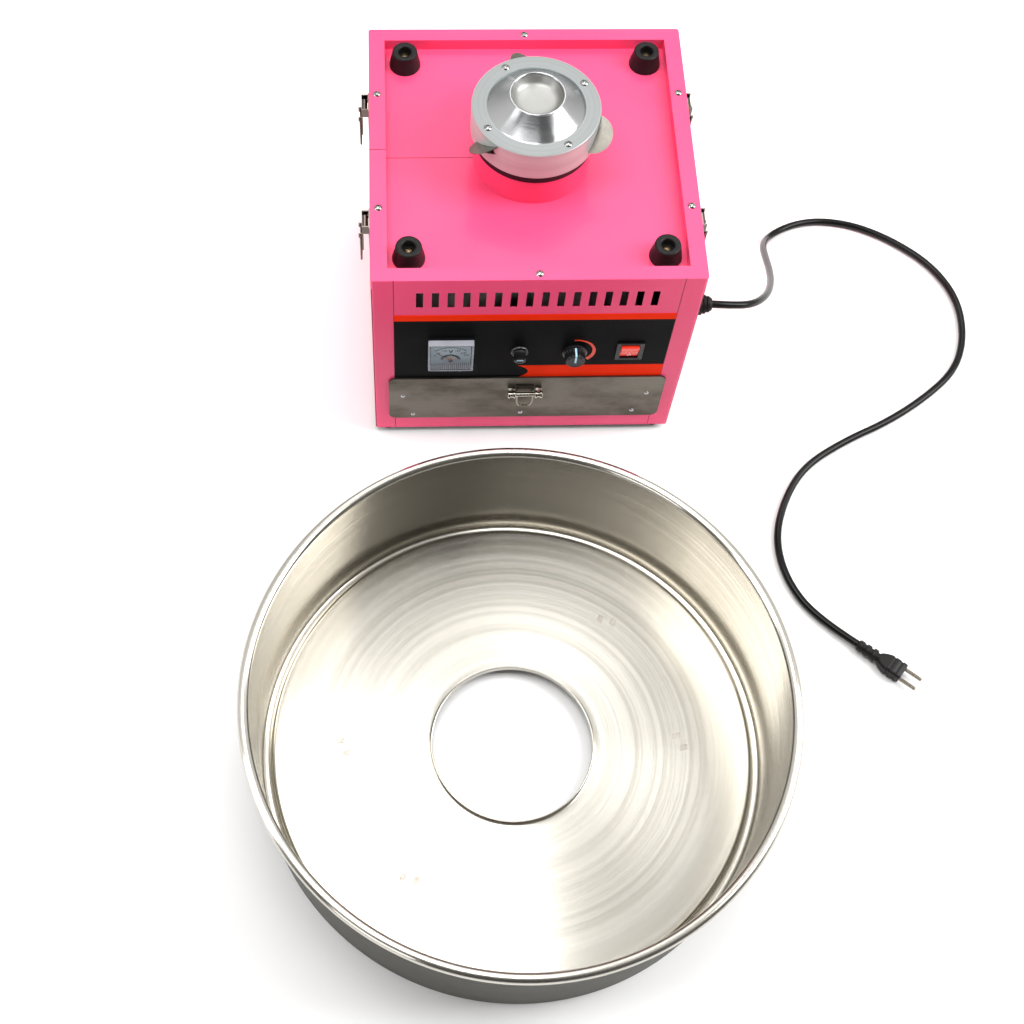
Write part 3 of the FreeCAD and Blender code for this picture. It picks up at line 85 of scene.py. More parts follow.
class Shader:
    """One material's node tree round a Principled shader; places are in metres."""

    def __init__(self, name, colour, roughness, metallic=0.0, **sockets):
        self.material = bpy.data.materials.new(name)
        self.material.use_nodes = True
        self.tree = self.material.node_tree
        self.bsdf = self.tree.nodes["Principled BSDF"]
        self.bsdf.inputs["Base Color"].default_value = (*colour, 1)
        self.bsdf.inputs["Roughness"].default_value = roughness
        self.bsdf.inputs["Metallic"].default_value = metallic
        for socket, value in sockets.items():
            self.bsdf.inputs[socket.replace("_", " ")].default_value = value

    def add(self, kind, **settings):
        node = self.tree.nodes.new("ShaderNode" + kind)
        for key, value in settings.items():
            setattr(node, key, value)
        return node

    def join(self, source, target):
        self.tree.links.new(source, target)

    def feed(self, source, socket):
        self.join(source, self.bsdf.inputs[socket])

    def coords(self, stretch=(1, 1, 1), turn=(0, 0, 0)):
        place = self.add("TexCoord")
        mapping = self.add("Mapping")
        mapping.inputs["Scale"].default_value = stretch
        mapping.inputs["Rotation"].default_value = turn
        self.join(place.outputs["Object"], mapping.inputs["Vector"])
        return mapping.outputs["Vector"]

    def noise(self, scale, detail=4, roughness=0.5, where=None):
        node = self.add("TexNoise")
        node.inputs["Scale"].default_value = scale
        node.inputs["Detail"].default_value = detail
        node.inputs["Roughness"].default_value = roughness
        self.join(where or self.coords(), node.inputs["Vector"])
        return node.outputs["Fac"]

    def spread(self, value, low, high, start=0.0, end=1.0):
        node = self.add("MapRange")
        for socket, number in zip(("From Min", "From Max", "To Min", "To Max"),
                                  (start, end, low, high)):
            node.inputs[socket].default_value = number
        self.join(value, node.inputs["Value"])
        return node.outputs["Result"]

    def blend(self, factor, first, second):
        node = self.add("Mix", data_type="RGBA")
        for value, socket in zip((factor, first, second), (0, 6, 7)):
            if isinstance(value, (int, float)):
                node.inputs[socket].default_value = value
            elif isinstance(value, tuple):
                node.inputs[socket].default_value = (*value, 1)
            else:
                self.join(value, node.inputs[socket])
        return node.outputs[2]

    def mottle(self, value, start, end, first, second):
        """From the first colour to the second as a value goes from start to end."""
        return self.blend(self.spread(value, 0, 1, start, end), first, second)

    def sums(self, how, first, second=0.0):
        return math_node(self.tree, how, first, second)

    def both(self, first, second):
        """One where both masks are one."""
        return self.sums("MULTIPLY", first, second)

    def axes(self):
        """The piece's own X, Y and Z."""
        parts = self.add("SeparateXYZ")
        self.join(self.coords(), parts.inputs["Vector"])
        return [parts.outputs[letter] for letter in "XYZ"]

    def bump(self, height, strength, distance):
        node = self.add("Bump")
        node.inputs["Strength"].default_value = strength
        node.inputs["Distance"].default_value = distance
        self.join(height, node.inputs["Height"])
        self.feed(node.outputs["Normal"], "Normal")

    def radial_grain(self, anisotropy, turn):
        """Lathe marks: the highlight is drawn out across circles round Z."""
        tangent = self.add("Tangent", direction_type="RADIAL", axis="Z")
        self.feed(tangent.outputs["Tangent"], "Tangent")
        self.bsdf.inputs["Anisotropic"].default_value = anisotropy
        self.bsdf.inputs["Anisotropic Rotation"].default_value = turn

    def rings(self, scale):
        """Fine concentric noise about the piece's own upright axis, from 0 to 1."""
        across, along, up = self.axes()
        square = self.sums("ADD", self.both(across, across), self.both(along, along))
        line = self.add("CombineXYZ")
        self.join(self.sums("SQRT", square), line.inputs["X"])
        self.join(up, line.inputs["Y"])
        return self.noise(scale, 5, 0.7, line.outputs["Vector"])


# ------------------------ places in the CAD, in millimetres
PAN_CENTRE = [(low + high) / 2 / MM for low, high in zip(*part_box("pan_bowl"))][:2]
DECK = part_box("pan_cushions")[0][2] / MM
HEAD_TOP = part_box("head_rim")[1][2] / MM
CONE_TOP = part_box("sugar_cone")[1][2] / MM
FRAME_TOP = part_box("top_frame")[1][2] / MM
SIDE_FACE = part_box("side_panel_right")[1][0] / MM
PANEL_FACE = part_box("control_overlay")[0][1] / MM
METER_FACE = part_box("meter_case")[0][1] / MM
PLATE_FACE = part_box("drawer_front")[0][1] / MM


# ------------------------ materials, in metres
HAIRLINE = 0.00045
FRONT_SEAM = 0.140
FRONT_SKIN = -0.1583
WELD_END = -0.058
WELD_LEVEL = 0.265
# Bounds of the faces inside the cabinet that get painted shade.
INNER_WIDE = 0.1615
INNER_DEEP = 0.1585
STRIPE_FOOT = 0.2153
BAND_TOP = 0.1335
BAND_TIP = (-0.001, 0.122)
TIP_HALF = 0.0115
TIP_REACH = 0.011
LATHE_TURN = 0.25


def pink_paint():
    """Gloss enamel with hairlines at the front seams and weld, and painted shade on the faces
    inside the cabinet below the deck.
    """
    paint = Shader("pink_paint", (0.90, 0.076, 0.200), 0.34, Coat_Weight=0.06,
                   Coat_Roughness=0.06, Specular_IOR_Level=0.2)
    across, back, up = paint.axes()
    wide = paint.sums("ABSOLUTE", across)
    deep = paint.sums("ABSOLUTE", back)
    near_seam = paint.sums("ABSOLUTE", paint.sums("SUBTRACT", wide, FRONT_SEAM))
    seam = paint.both(paint.sums("LESS_THAN", near_seam, HAIRLINE),
                      paint.sums("LESS_THAN", back, FRONT_SKIN))
    weld = paint.both(paint.sums("LESS_THAN", deep, HAIRLINE),
                      paint.sums("LESS_THAN", across, WELD_END))
    weld = paint.both(weld, paint.sums("GREATER_THAN", up, WELD_LEVEL))
    line = paint.sums("MAXIMUM", seam, weld)
    # Painted shade: the faces inside the cabinet, below the deck, are painted near black and
    # made rougher.
    inside = paint.both(paint.sums("LESS_THAN", wide, INNER_WIDE),
                        paint.sums("LESS_THAN", deep, INNER_DEEP))
    inside = paint.both(inside, paint.sums("LESS_THAN", up, (DECK - 0.5) * MM))
    scratch = paint.noise(22, 6, 0.75, paint.coords((1, 7, 1), (0, 0, 0.5)))
    colour = paint.mottle(paint.noise(6, 3), 0.3, 0.7, (0.90, 0.070, 0.192),
                          (0.92, 0.082, 0.212))
    colour = paint.blend(paint.spread(scratch, 0.0, 0.35, 0.70, 0.80), colour,
                         (0.95, 0.16, 0.30))
    colour = paint.blend(paint.sums("MULTIPLY", line, 0.8), colour, (0.20, 0.012, 0.03))
    paint.feed(paint.blend(inside, colour, (0.05, 0.006, 0.012)), "Base Color")
    paint.feed(paint.sums("ADD", paint.spread(paint.noise(40, 5), 0.26, 0.40),
                          paint.sums("MULTIPLY", inside, 0.5)), "Roughness")
    paint.bump(paint.noise(900, 2), 0.05, 0.0003)
    return paint.material


def spun_steel(name, colour, dark, anisotropy, rough, metallic=1.0, scale=420, **sockets):
    """Lathe-turned metal; its circles lie round the piece's own upright axis."""
    steel = Shader(name, colour, rough, metallic, **sockets)
    rings = steel.rings(scale)
    stain = steel.noise(5, 2, 0.5)
    tone = steel.mottle(steel.rings(60), 0.35, 0.65, dark, colour)
    tone = steel.blend(steel.spread(rings, 0, 0.8, 0.42, 0.70), tone, dark)
    tone = steel.blend(steel.spread(stain, 0.0, 0.3, 0.5, 0.75), tone, dark)
    steel.feed(tone, "Base Color")
    steel.feed(steel.sums("ADD", steel.spread(rings, rough - 0.05, rough + 0.05, 0.3, 0.7),
                          steel.spread(stain, 0.0, 0.04, 0.4, 0.7)), "Roughness")
    steel.bump(rings, 0.06, 0.0002)
    steel.radial_grain(anisotropy, LATHE_TURN)
    return steel.material


def head_satin_painted_light():
    """Satin aluminium with painted light: painted shade darkens the turned top face and a
    painted lighter tone brightens the upright skirt.
    """
    satin = Shader("head_satin_painted_light", (0.36, 0.37, 0.37), 0.42, 0.35)
    # Painted shade on the turned top face, picked out by height.
    top = satin.sums("GREATER_THAN", satin.axes()[2], (HEAD_TOP - 0.25) * MM)
    rings = satin.rings(380)
    band = satin.noise(5, 3, 0.5, satin.coords((1, 1, 30)))
    # Painted light: the skirt's tones are raised and the top face's tones lowered for how
    # light falls on each.
    skirt = satin.mottle(band, 0.35, 0.65, (0.44, 0.49, 0.475), (0.50, 0.555, 0.54))
    face = satin.mottle(rings, 0.4, 0.7, (0.265, 0.28, 0.28), (0.225, 0.24, 0.24))
    satin.feed(satin.blend(top, skirt, face), "Base Color")
    satin.feed(satin.spread(rings, 0.36, 0.46, 0.3, 0.7), "Roughness")
    satin.bump(rings, 0.05, 0.0002)
    return satin.material


def plain_metal(name, colour, rough, grain=0.1, scale=500, stretch=(1, 1, 1)):
    """Bare or plated metal, a little uneven in tone and gloss."""
    metal = Shader(name, colour, rough, 1.0)
    fine = metal.noise(scale, 3, 0.6, metal.coords(stretch))
    shade = tuple(0.82 * part for part in colour)
    metal.feed(metal.mottle(metal.noise(30, 4), 0.35, 0.65, shade, colour), "Base Color")
    metal.feed(metal.spread(fine, rough * 0.7, rough * 1.4, 0.3, 0.7), "Roughness")
    metal.bump(fine, grain, 0.0002)
    return metal.material


def moulded(name, colour, rough, grain=0.08, **sockets):
    """Plastic, rubber or print, a little uneven in tone and gloss."""
    plastic = Shader(name, colour, rough, **sockets)
    light = tuple(min(1, 1.25 * part + 0.004) for part in colour)
    plastic.feed(plastic.mottle(plastic.noise(25, 3), 0.35, 0.65, colour, light), "Base Color")
    plastic.feed(plastic.spread(plastic.noise(60, 4), rough * 0.85, rough * 1.2), "Roughness")
    plastic.bump(plastic.noise(1400, 2), grain, 0.0002)
    return plastic.material


def smudged_and_shaded_plate():
    """The drawer's steel plate: grain along it and dark finger smears, all in tones painted
    dark as painted shade for the dark reflection it shows.
    """
    steel = Shader("smudged_and_shaded_plate", (0.30, 0.28, 0.24), 0.38, 1.0)
    grain = steel.noise(260, 4, 0.7, steel.coords((0.12, 1, 6)))
    smear = steel.noise(16, 5, 0.6, steel.coords((1, 1, 1.7), (0, 0.6, 0)))
    # Painted shade: both smear tones are far darker than the steel itself, standing in for its
    # dark reflection; the smears between them are finger marks.
    tone = steel.mottle(smear, 0.42, 0.68, (0.125, 0.112, 0.092), (0.062, 0.051, 0.038))
    tone = steel.blend(steel.spread(grain, 0, 0.35, 0.4, 0.7), tone, (0.165, 0.152, 0.127))
    steel.feed(tone, "Base Color")
    steel.feed(steel.spread(smear, 0.32, 0.5, 0.35, 0.7), "Roughness")
    steel.bump(grain, 0.08, 0.0002)
    return steel.material


def clear_acrylic():
    """Thin clear plastic, for the meter's cover and the fuse's glass."""
    acrylic = Shader("clear_acrylic", (0.55, 0.62, 0.70), 0.06, Alpha=0.09)
    acrylic.feed(acrylic.spread(acrylic.noise(120, 3), 0.04, 0.14), "Roughness")
    return acrylic.material


def printed_panel():
    """The foil on the front: black, an orange stripe on top and an orange band below.

    The band starts at a dark rounded tip left of the knob and runs to the right edge.
    """
    foil = Shader("printed_panel", (0.008, 0.008, 0.009), 0.45, Specular_IOR_Level=0.03)
    across, _, up = foil.axes()
    stripe = foil.sums("GREATER_THAN", up, STRIPE_FOOT)
    wedge = foil.sums("SUBTRACT", across, BAND_TIP[0])
    lift = foil.sums("ABSOLUTE", foil.sums("SUBTRACT", up, BAND_TIP[1]))
    bend = foil.sums("POWER", foil.sums("DIVIDE", lift, TIP_HALF), 2.0)
    right = foil.sums("GREATER_THAN", wedge, foil.sums("MULTIPLY", bend, -TIP_REACH))
    band = foil.both(right, foil.sums("LESS_THAN", up, BAND_TOP))
    black = foil.mottle(foil.noise(18, 4), 0.35, 0.7, (0.0035, 0.0035, 0.004),
                        (0.007, 0.007, 0.0075))
    orange = foil.mottle(foil.noise(12, 3), 0.3, 0.7, (0.97, 0.024, 0.0), (1.0, 0.032, 0.001))
    foil.feed(foil.blend(foil.sums("MAXIMUM", stripe, band), black, orange), "Base Color")
    foil.feed(foil.spread(foil.noise(70, 4), 0.36, 0.5), "Roughness")
    foil.bump(foil.noise(1600, 2), 0.05, 0.0001)
    return foil.material


STAINLESS = spun_steel("pan_steel", (0.66, 0.635, 0.585), (0.47, 0.45, 0.40), 0.85, 0.18,
                       1.0, 480)
# Painted shade: the pan's upright inner wall is a darker copy of the pan steel, for the dark
# reflection it shows.
PAN_WALL_SHADED = spun_steel("pan_wall_painted_shade", (0.50, 0.47, 0.415), (0.38, 0.355, 0.305), 0.85, 0.14)
# Painted shade: the pan's outside is a much darker, duller copy of the pan steel, for the dark
# reflection it shows.
PAN_OUTSIDE_SHADED = spun_steel("pan_outside_painted_shade", (0.10, 0.097, 0.085), (0.075, 0.073, 0.062), 0.3,
                         0.32, 0.3, Specular_IOR_Level=0.1,
                         Specular_Tint=(0.25, 0.25, 0.22, 1))
HEAD_SATIN = head_satin_painted_light()
HEAD_POLISH = spun_steel("head_polish", (0.46, 0.47, 0.48), (0.43, 0.44, 0.45), 0.85, 0.22,
                         1.0, 900)
HEAD_CUP = spun_steel("head_cup", (0.40, 0.40, 0.385), (0.36, 0.36, 0.345), 0.5, 0.42, 0.9,
                      900)
VANE_STEEL = spun_steel("vane_steel", (0.30, 0.28, 0.25), (0.21, 0.195, 0.17), 0.2, 0.3)
PINK = pink_paint()
PLATE = smudged_and_shaded_plate()
NICKEL = plain_metal("nickel", (0.27, 0.24, 0.195), 0.16, 0.05)
# Painted shade: a darker copy of the nickel, standing in for the dark reflections on the latch
# wire.
LATCH_NICKEL_SHADED = plain_metal("latch_nickel_painted_shade", (0.17, 0.145, 0.125), 0.12, 0.3, 250)
WELD_MARK = plain_metal("weld_mark", (0.62, 0.58, 0.52), 0.6, 0.2)
SCREW_STEEL = plain_metal("screw_steel", (0.42, 0.42, 0.415), 0.14, 0.05)
# Partly the parts' own dark finish, partly painted shade: parts inside the cabinet are made
# near black for the shade there.
DARK_STEEL = plain_metal("dark_steel", (0.09, 0.09, 0.10), 0.45, 0.1)
# Painted shade: the drawer tray's steel is darkened for the shade inside the cabinet behind
# the vents.
TRAY_STEEL_SHADED = plain_metal("tray_steel_painted_shade", (0.27, 0.26, 0.24), 0.4, 0.1, 300, (1, 0.1, 1))
COPPER_ZINC = plain_metal("yellow_zinc", (0.26, 0.19, 0.11), 0.3, 0.05)
BRIGHT_NICKEL = plain_metal("bright_nickel", (0.62, 0.59, 0.52), 0.12, 0.04)
# Painted shade: the backing leaf's near-black tone stands in for the shade in the recess above
# the hinge rod.
HANDLE_LEAF_SHADE = plain_metal("handle_leaf_painted_shade", (0.075, 0.062, 0.048), 0.35, 0.1)
COPPER = plain_metal("copper", (0.80, 0.42, 0.24), 0.25, 0.05)
RUBBER = moulded("rubber", (0.006, 0.005, 0.005), 0.42, 0.25, Specular_IOR_Level=0.2)
CORD_PVC = moulded("cord_pvc", (0.0035, 0.0035, 0.0035), 0.2, 0.06,
                   Specular_IOR_Level=0.2)
BLACK_PLASTIC = moulded("black_plastic", (0.005, 0.005, 0.006), 0.25, 0.05,
                        Specular_IOR_Level=0.35)
OVERLAY = printed_panel()
PRINT = moulded("overlay_orange", (0.85, 0.045, 0.006), 0.35, 0.05)
ROCKER = moulded("rocker_red", (0.90, 0.035, 0.015), 0.22, 0.03,
                 Emission_Color=(1.0, 0.05, 0.02, 1), Emission_Strength=0.12)
DIAL = moulded("dial_paper", (0.48, 0.57, 0.64), 0.5, 0.02)
INK = moulded("dial_ink", (0.004, 0.004, 0.006), 0.5, 0.02, Specular_IOR_Level=0.1)
NEEDLE = moulded("needle_red", (0.09, 0.030, 0.025), 0.4, 0.02)
POINTER = moulded("pointer_blue", (0.42, 0.68, 0.95), 0.4, 0.02)
MARK_WHITE = moulded("mark_white", (0.75, 0.72, 0.72), 0.4, 0.02)
PHENOLIC = moulded("phenolic", (0.25, 0.10, 0.04), 0.5, 0.1)
CARBON = moulded("carbon", (0.02, 0.02, 0.02), 0.6, 0.2)
FROSTED = moulded("frosted_clear", (0.42, 0.43, 0.48), 0.3, 0.03, Transmission_Weight=0.2,
                  IOR=1.45)
RIB_GREY = moulded("rib_grey", (0.07, 0.075, 0.08), 0.3, 0.03)
BEZEL_GREY = moulded("bezel_grey", (0.05, 0.05, 0.055), 0.22, 0.03, Coat_Weight=0.6)
CLEAR = clear_acrylic()

BY_SLOT = {
    "pink_paint": PINK, "stainless": STAINLESS, "drawer_stainless": PLATE,
    "aluminium_satin": HEAD_SATIN, "aluminium_polished": HEAD_POLISH, "nickel": NICKEL,
    "screw_steel": SCREW_STEEL, "steel_dark": DARK_STEEL, "rubber_black": RUBBER,
    "overlay_print": OVERLAY, "black_plastic": BLACK_PLASTIC, "cord_pvc": CORD_PVC,
    "clear_plastic": CLEAR, "dial_paper": DIAL, "needle_red": NEEDLE,
    "rocker_red": ROCKER, "copper": COPPER, "carbon": CARBON, "fuse_glass": CLEAR,
    "insulator": PHENOLIC, "motor_paint": BLACK_PLASTIC,
}
for row in frame["record"]["subparts"]:
    mesh = frame["nodes"][row["node"]].data
    mesh.materials.clear()
    mesh.materials.append(BY_SLOT[row["material_slot"]])
# The tray takes the darkened steel: painted shade inside the cabinet.
frame["nodes"]["drawer_tray"].data.materials[0] = TRAY_STEEL_SHADED
frame["nodes"]["air_vanes"].data.materials[0] = VANE_STEEL
# The base plate takes the dark steel, partly as painted shade inside the cabinet.
frame["nodes"]["base_plate"].data.materials[0] = DARK_STEEL
# The latches take the darker copy of the nickel: painted shade.
for node_name, node in frame["nodes"].items():
    if node_name.startswith("latch_"):
        node.data.materials[0] = LATCH_NICKEL_SHADED


# ------------------------ mesh helpers
FORWARD = Matrix.Rotation(math.pi / 2, 4, "X")
SIDEWAYS = Matrix.Rotation(math.pi / 2, 4, "Y")


def finish_mesh(name, mesh, material, body, crease=35):
    """Link a mesh as a piece that rides on a body, smooth but for its sharp edges."""
    for face in mesh.polygons:
        face.use_smooth = True
    mesh.set_sharp_from_angle(angle=math.radians(crease))
    mesh.materials.append(material)
    piece = bpy.data.objects.new(name, mesh)
    scene.collection.objects.link(piece)
    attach(piece, body)
    return piece


def skin(work, rows):
    """Quads between neighbouring closed rows of vertices."""
    for low, high in zip(rows, rows[1:]):
        for step in range(len(low)):
            after = (step + 1) % len(low)
            work.faces.new((low[step], low[after], high[after], high[step]))


def take_mesh(work, name, matrix=Matrix.Identity(4)):
    """Mesh data from a working mesh, its faces turned outward, moved by a matrix."""
    bmesh.ops.recalc_face_normals(work, faces=work.faces)
    work.transform(matrix)
    mesh = bpy.data.meshes.new(name)
    work.to_mesh(mesh)
    work.free()
    return mesh


def turned_mesh(mesh_name, profile, segments, matrix=Matrix.Identity(4)):
    """A mesh turned about Z from (radius, height) points in millimetres."""
    work = bmesh.new()
    rows = []
    for radius, height in profile:
        if radius < 1e-6:
            rows.append([work.verts.new((0, 0, height * MM))])
            continue
        rows.append([work.verts.new((radius * MM * math.cos(math.tau * step / segments),
                                     radius * MM * math.sin(math.tau * step / segments),
                                     height * MM)) for step in range(segments)])
    for low, high in zip(rows, rows[1:]):
        if len(low) == 1 and len(high) == 1:
            continue
        for step in range(segments):
            after = (step + 1) % segments
            ring = [low[0] if len(low) == 1 else low[step]]
            if len(low) > 1:
                ring.append(low[after])
            ring.append(high[0] if len(high) == 1 else high[after])
            if len(high) > 1:
                ring.append(high[step])
            work.faces.new(ring)
    return take_mesh(work, mesh_name, matrix)


def arc_points(centre, radius, start, end, steps):
    """Points on an arc, between two angles in degrees."""
    return [(centre[0] + radius * math.cos(math.radians(start + (end - start) * k / steps)),
             centre[1] + radius * math.sin(math.radians(start + (end - start) * k / steps)))
            for k in range(steps + 1)]


def turned(name, profile, material, body, nodes=(), segments=96, at=(0, 0, 0),
           turn=Matrix.Identity(4), crease=35):
    """A turned piece whose object stands at its own axis, in place of CAD nodes."""
    mesh = turned_mesh(name, profile, segments, turn)
    piece = finish_mesh(name, mesh, material, body, crease)
    piece.location = [part * MM for part in at]
    if nodes:
        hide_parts(*nodes)
    return piece


def curve_mesh(curve):
    """Mesh data with the shape of a curve or of letters."""
    shape = bpy.data.objects.new(curve.name, curve)
    scene.collection.objects.link(shape)
    bpy.context.view_layer.update()
    mesh = bpy.data.meshes.new_from_object(shape)
    bpy.data.objects.remove(shape)
    return mesh


def section_ring(wide, high, corner):
    """Points round a rectangle with round corners, as (right, up)."""
    corner = min(corner, wide, high)
    ring = []
    for quarter, (side, top) in enumerate(((1, 1), (-1, 1), (-1, -1), (1, -1))):
        ring += arc_points((side * (wide - corner), top * (high - corner)), corner,
                           90 * quarter, 90 * quarter + 90, 6)
    return ring


def section_loft(name, stations, material, body, matrix, capped=True):
    """A skin along +X through rounded rectangles, closed at its ends if capped.

    Each station is (x, half width, half height, corner radius) in millimetres.
    """
    work = bmesh.new()
    rows = [[work.verts.new((along * MM, across * MM, up * MM))
             for across, up in section_ring(wide, high, corner)]
            for along, wide, high, corner in stations]
    skin(work, rows)
    if capped:
        work.faces.new(rows[0])
        work.faces.new(rows[-1])
    return finish_mesh(name, take_mesh(work, name, matrix), material, body)


def grip(name, stations, steps, flute, body, matrix):
    """A turned and fluted plastic skin through (height, radius, flute depth) stations."""
    work = bmesh.new()
    rows = []
    for height, size, depth in stations:
        row = []
        for step in range(steps):
            angle = math.tau * step / steps
            away = (size - depth * flute(angle)) * MM
            row.append(work.verts.new((away * math.cos(angle), away * math.sin(angle),
                                       height * MM)))
        rows.append(row)
    skin(work, rows)
    work.faces.new(rows[0])
    return finish_mesh(name, take_mesh(work, name, matrix), BLACK_PLASTIC, body,
                       40)


# ------------------------ cord and plug
CORD_ROUTE = [
    (0.186, -0.118, 0.181), (0.206, -0.119, 0.180), (0.232, -0.112, 0.171),
    (0.255, -0.084, 0.147), (0.271, -0.045, 0.115), (0.281, -0.004, 0.083),
    (0.287, 0.035, 0.054), (0.293, 0.069, 0.029), (0.304, 0.094, 0.010),
    (0.322, 0.111, 0.004), (0.348, 0.122, 0.004), (0.380, 0.125, 0.004),
    (0.420, 0.116, 0.004), (0.462, 0.092, 0.004), (0.500, 0.057, 0.004),
    (0.522, 0.010, 0.004), (0.521, -0.042, 0.004), (0.503, -0.088, 0.004),
    (0.463, -0.124, 0.004), (0.414, -0.156, 0.004), (0.360, -0.181, 0.004),
    (0.310, -0.213, 0.004), (0.282, -0.257, 0.004), (0.268, -0.304, 0.004),
    (0.275, -0.352, 0.004), (0.300, -0.394, 0.0046), (0.339, -0.426, 0.0073)]
CORD_WIDTH = 0.008
LEAD_EXIT = (SIDE_FACE, -118, 181)
PLUG_START = Vector(CORD_ROUTE[-1])
PLUG_WAY = (PLUG_START - Vector(CORD_ROUTE[-2])) * Vector((1, 1, 0))
PLUG_TURN = PLUG_WAY.to_track_quat("X", "Z").to_matrix().to_4x4()


def add_spline(curve, points):
    """One smooth spline that starts and ends at its end points."""
    spline = curve.splines.new("NURBS")
    spline.points.add(len(points) - 1)
    for point, place in zip(spline.points, points):
        point.co = (*place, 1)
    spline.order_u = 3
    spline.use_endpoint_u = True


def cord_curve():
    """The flexible lead: one smooth spline that follows the route."""
    curve = bpy.data.curves.new("mains_cord", "CURVE")
    curve.dimensions = "3D"
    curve.bevel_depth = CORD_WIDTH / 2
    curve.bevel_resolution = 10
    curve.resolution_u = 16
    add_spline(curve, CORD_ROUTE)
    curve.materials.append(CORD_PVC)
    piece = bpy.data.objects.new("mains_cord", curve)
    scene.collection.objects.link(piece)
    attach(piece, "cabinet")
    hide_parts("power_cord")
    return piece


def plug():
    """The moulded plug: ribbed relief, a neck, a flared grip with two ridges, two pins."""
    stand = Matrix.Translation(PLUG_START) @ PLUG_TURN
    relief = [(0, 4.6, 4.6, 4.6)]
    for start in (1.0, 9.0, 17.0):
        size = 5.5 + start * 0.05
        relief += [(start, size, size, size), (start + 0.5, size + 0.4, size + 0.4, 6.6),
                   (start + 4.8, size + 0.4, size + 0.4, 6.6),
                   (start + 5.3, size, size, size), (start + 5.5, 4.9, 4.9, 4.9),
                   (start + 7.6, 4.9, 4.9, 4.9)]
    body = [(25.0, 5.6, 5.6, 5.0), (26.5, 6.6, 5.8, 4.5), (30, 8.2, 6.6, 4),
            (35, 9.7, 7.1, 3.6), (38, 10.0, 7.3, 3.4), (38.6, 9.3, 6.9, 3.2),
            (40.2, 9.3, 6.9, 3.2), (40.8, 10.0, 7.3, 3.2), (46, 9.9, 7.2, 3.0),
            (46.6, 9.2, 6.8, 2.8), (48.2, 9.2, 6.8, 2.8), (48.8, 9.9, 7.2, 2.8),
            (52.6, 9.8, 7.1, 2.6), (53.7, 9.1, 6.5, 2.2), (54, 8.0, 5.5, 2.0)]
    moulding = section_loft("plug_moulding", relief + body, RUBBER, "cabinet",
                            stand)
    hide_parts("plug_body")
    pins = []
    for hand in (-1, 1):
        shift = Matrix.Translation((54 * MM, hand * 6.4 * MM, 0))
        profile = [(0, -2.0), (2.0, -2.0), (2.0, 17.6)]
        profile += arc_points((0.6, 17.6), 1.4, 0, 90, 6) + [(0, 19)]
        mesh = turned_mesh("plug_pin", profile, 32, stand @ shift @ SIDEWAYS)
        pins.append(finish_mesh("plug_pin_%d" % (hand + 2), mesh, NICKEL, "cabinet"))
    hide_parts("plug_pins")
    return [moulding, *pins]


def gland():
    """The ribbed rubber bush that holds the lead where it leaves the cabinet."""
    profile = [(0, 0.0), (11.6, 0.0), (12.4, 0.8), (12.5, 5.2), (12.0, 6.0), (10.9, 6.2)]
    for start, size in ((6.6, 11.7), (10.6, 11.3), (14.6, 10.0), (18.6, 8.6)):
        profile += [(size - 0.9, start), (size - 0.1, start + 0.3), (size - 0.2, start + 2.6),
                    (size - 1.1, start + 3.0)]
    profile += [(7.0, 23.0), (6.4, 23.9), (0, 24.0)]
    return turned("lead_gland", profile, RUBBER, "cabinet", ("cord_gland",), 64,
                  LEAD_EXIT, SIDEWAYS)


cord_pieces = [gland(), *plug()]
cord_curve()


# ------------------------ screws
def cross_screw(name, radius, dome, recess, spots, body, nodes, turn, material):
    """Screw heads with a cross recess, their domes rising along +Z, in one piece."""
    rings, steps = 22, 72
    arm, half = 0.62 * radius, 0.17 * radius
    work = bmesh.new()
    for number, spot in enumerate(spots):
        rows = []
        spin = turn + 0.9 * number
        c, s = math.cos(spin), math.sin(spin)
        for ring in range(rings + 1):
            away = radius * ring / rings
            height = dome * (1 - (away / radius) ** 3.2)
            row = []
            for step in range(steps):
                angle = math.tau * step / steps
                x, y = away * math.cos(angle), away * math.sin(angle)
                inside = max(min((half - abs(x)), (arm - abs(y))),
                             min((half - abs(y)), (arm - abs(x))))
                sunk = recess * min(1, max(0, inside / (0.45 * half) + 0.4))
                row.append(work.verts.new((spot[0] * MM + (x * c - y * s) * MM,
                                           spot[1] * MM + (x * s + y * c) * MM,
                                           (spot[2] + height - sunk) * MM)))
            rows.append(row)
        rows.append([work.verts.new((v.co.x, v.co.y, (spot[2] - 0.4) * MM))
                     for v in rows[-1]])
        skin(work, rows)
    bmesh.ops.remove_doubles(work, verts=work.verts, dist=1e-6)
    piece = finish_mesh(name, take_mesh(work, name), material, body, 40)
    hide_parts(*nodes)


# ------------------------ head
CONE_STEPS = 192
RING_RADIUS = 55.3
RING_SCREWS = [(RING_RADIUS * math.cos(math.radians(angle)),
                RING_RADIUS * math.sin(math.radians(angle)), HEAD_TOP)
               for angle in (30, 120, 210, 300)]
FRAME_SCREWS = [(x, y, FRAME_TOP) for x, y in ((0, -151.6), (0, 151.6), (-153.6, -72),
                                               (-153.6, 72), (153.6, -72), (153.6, 72))]


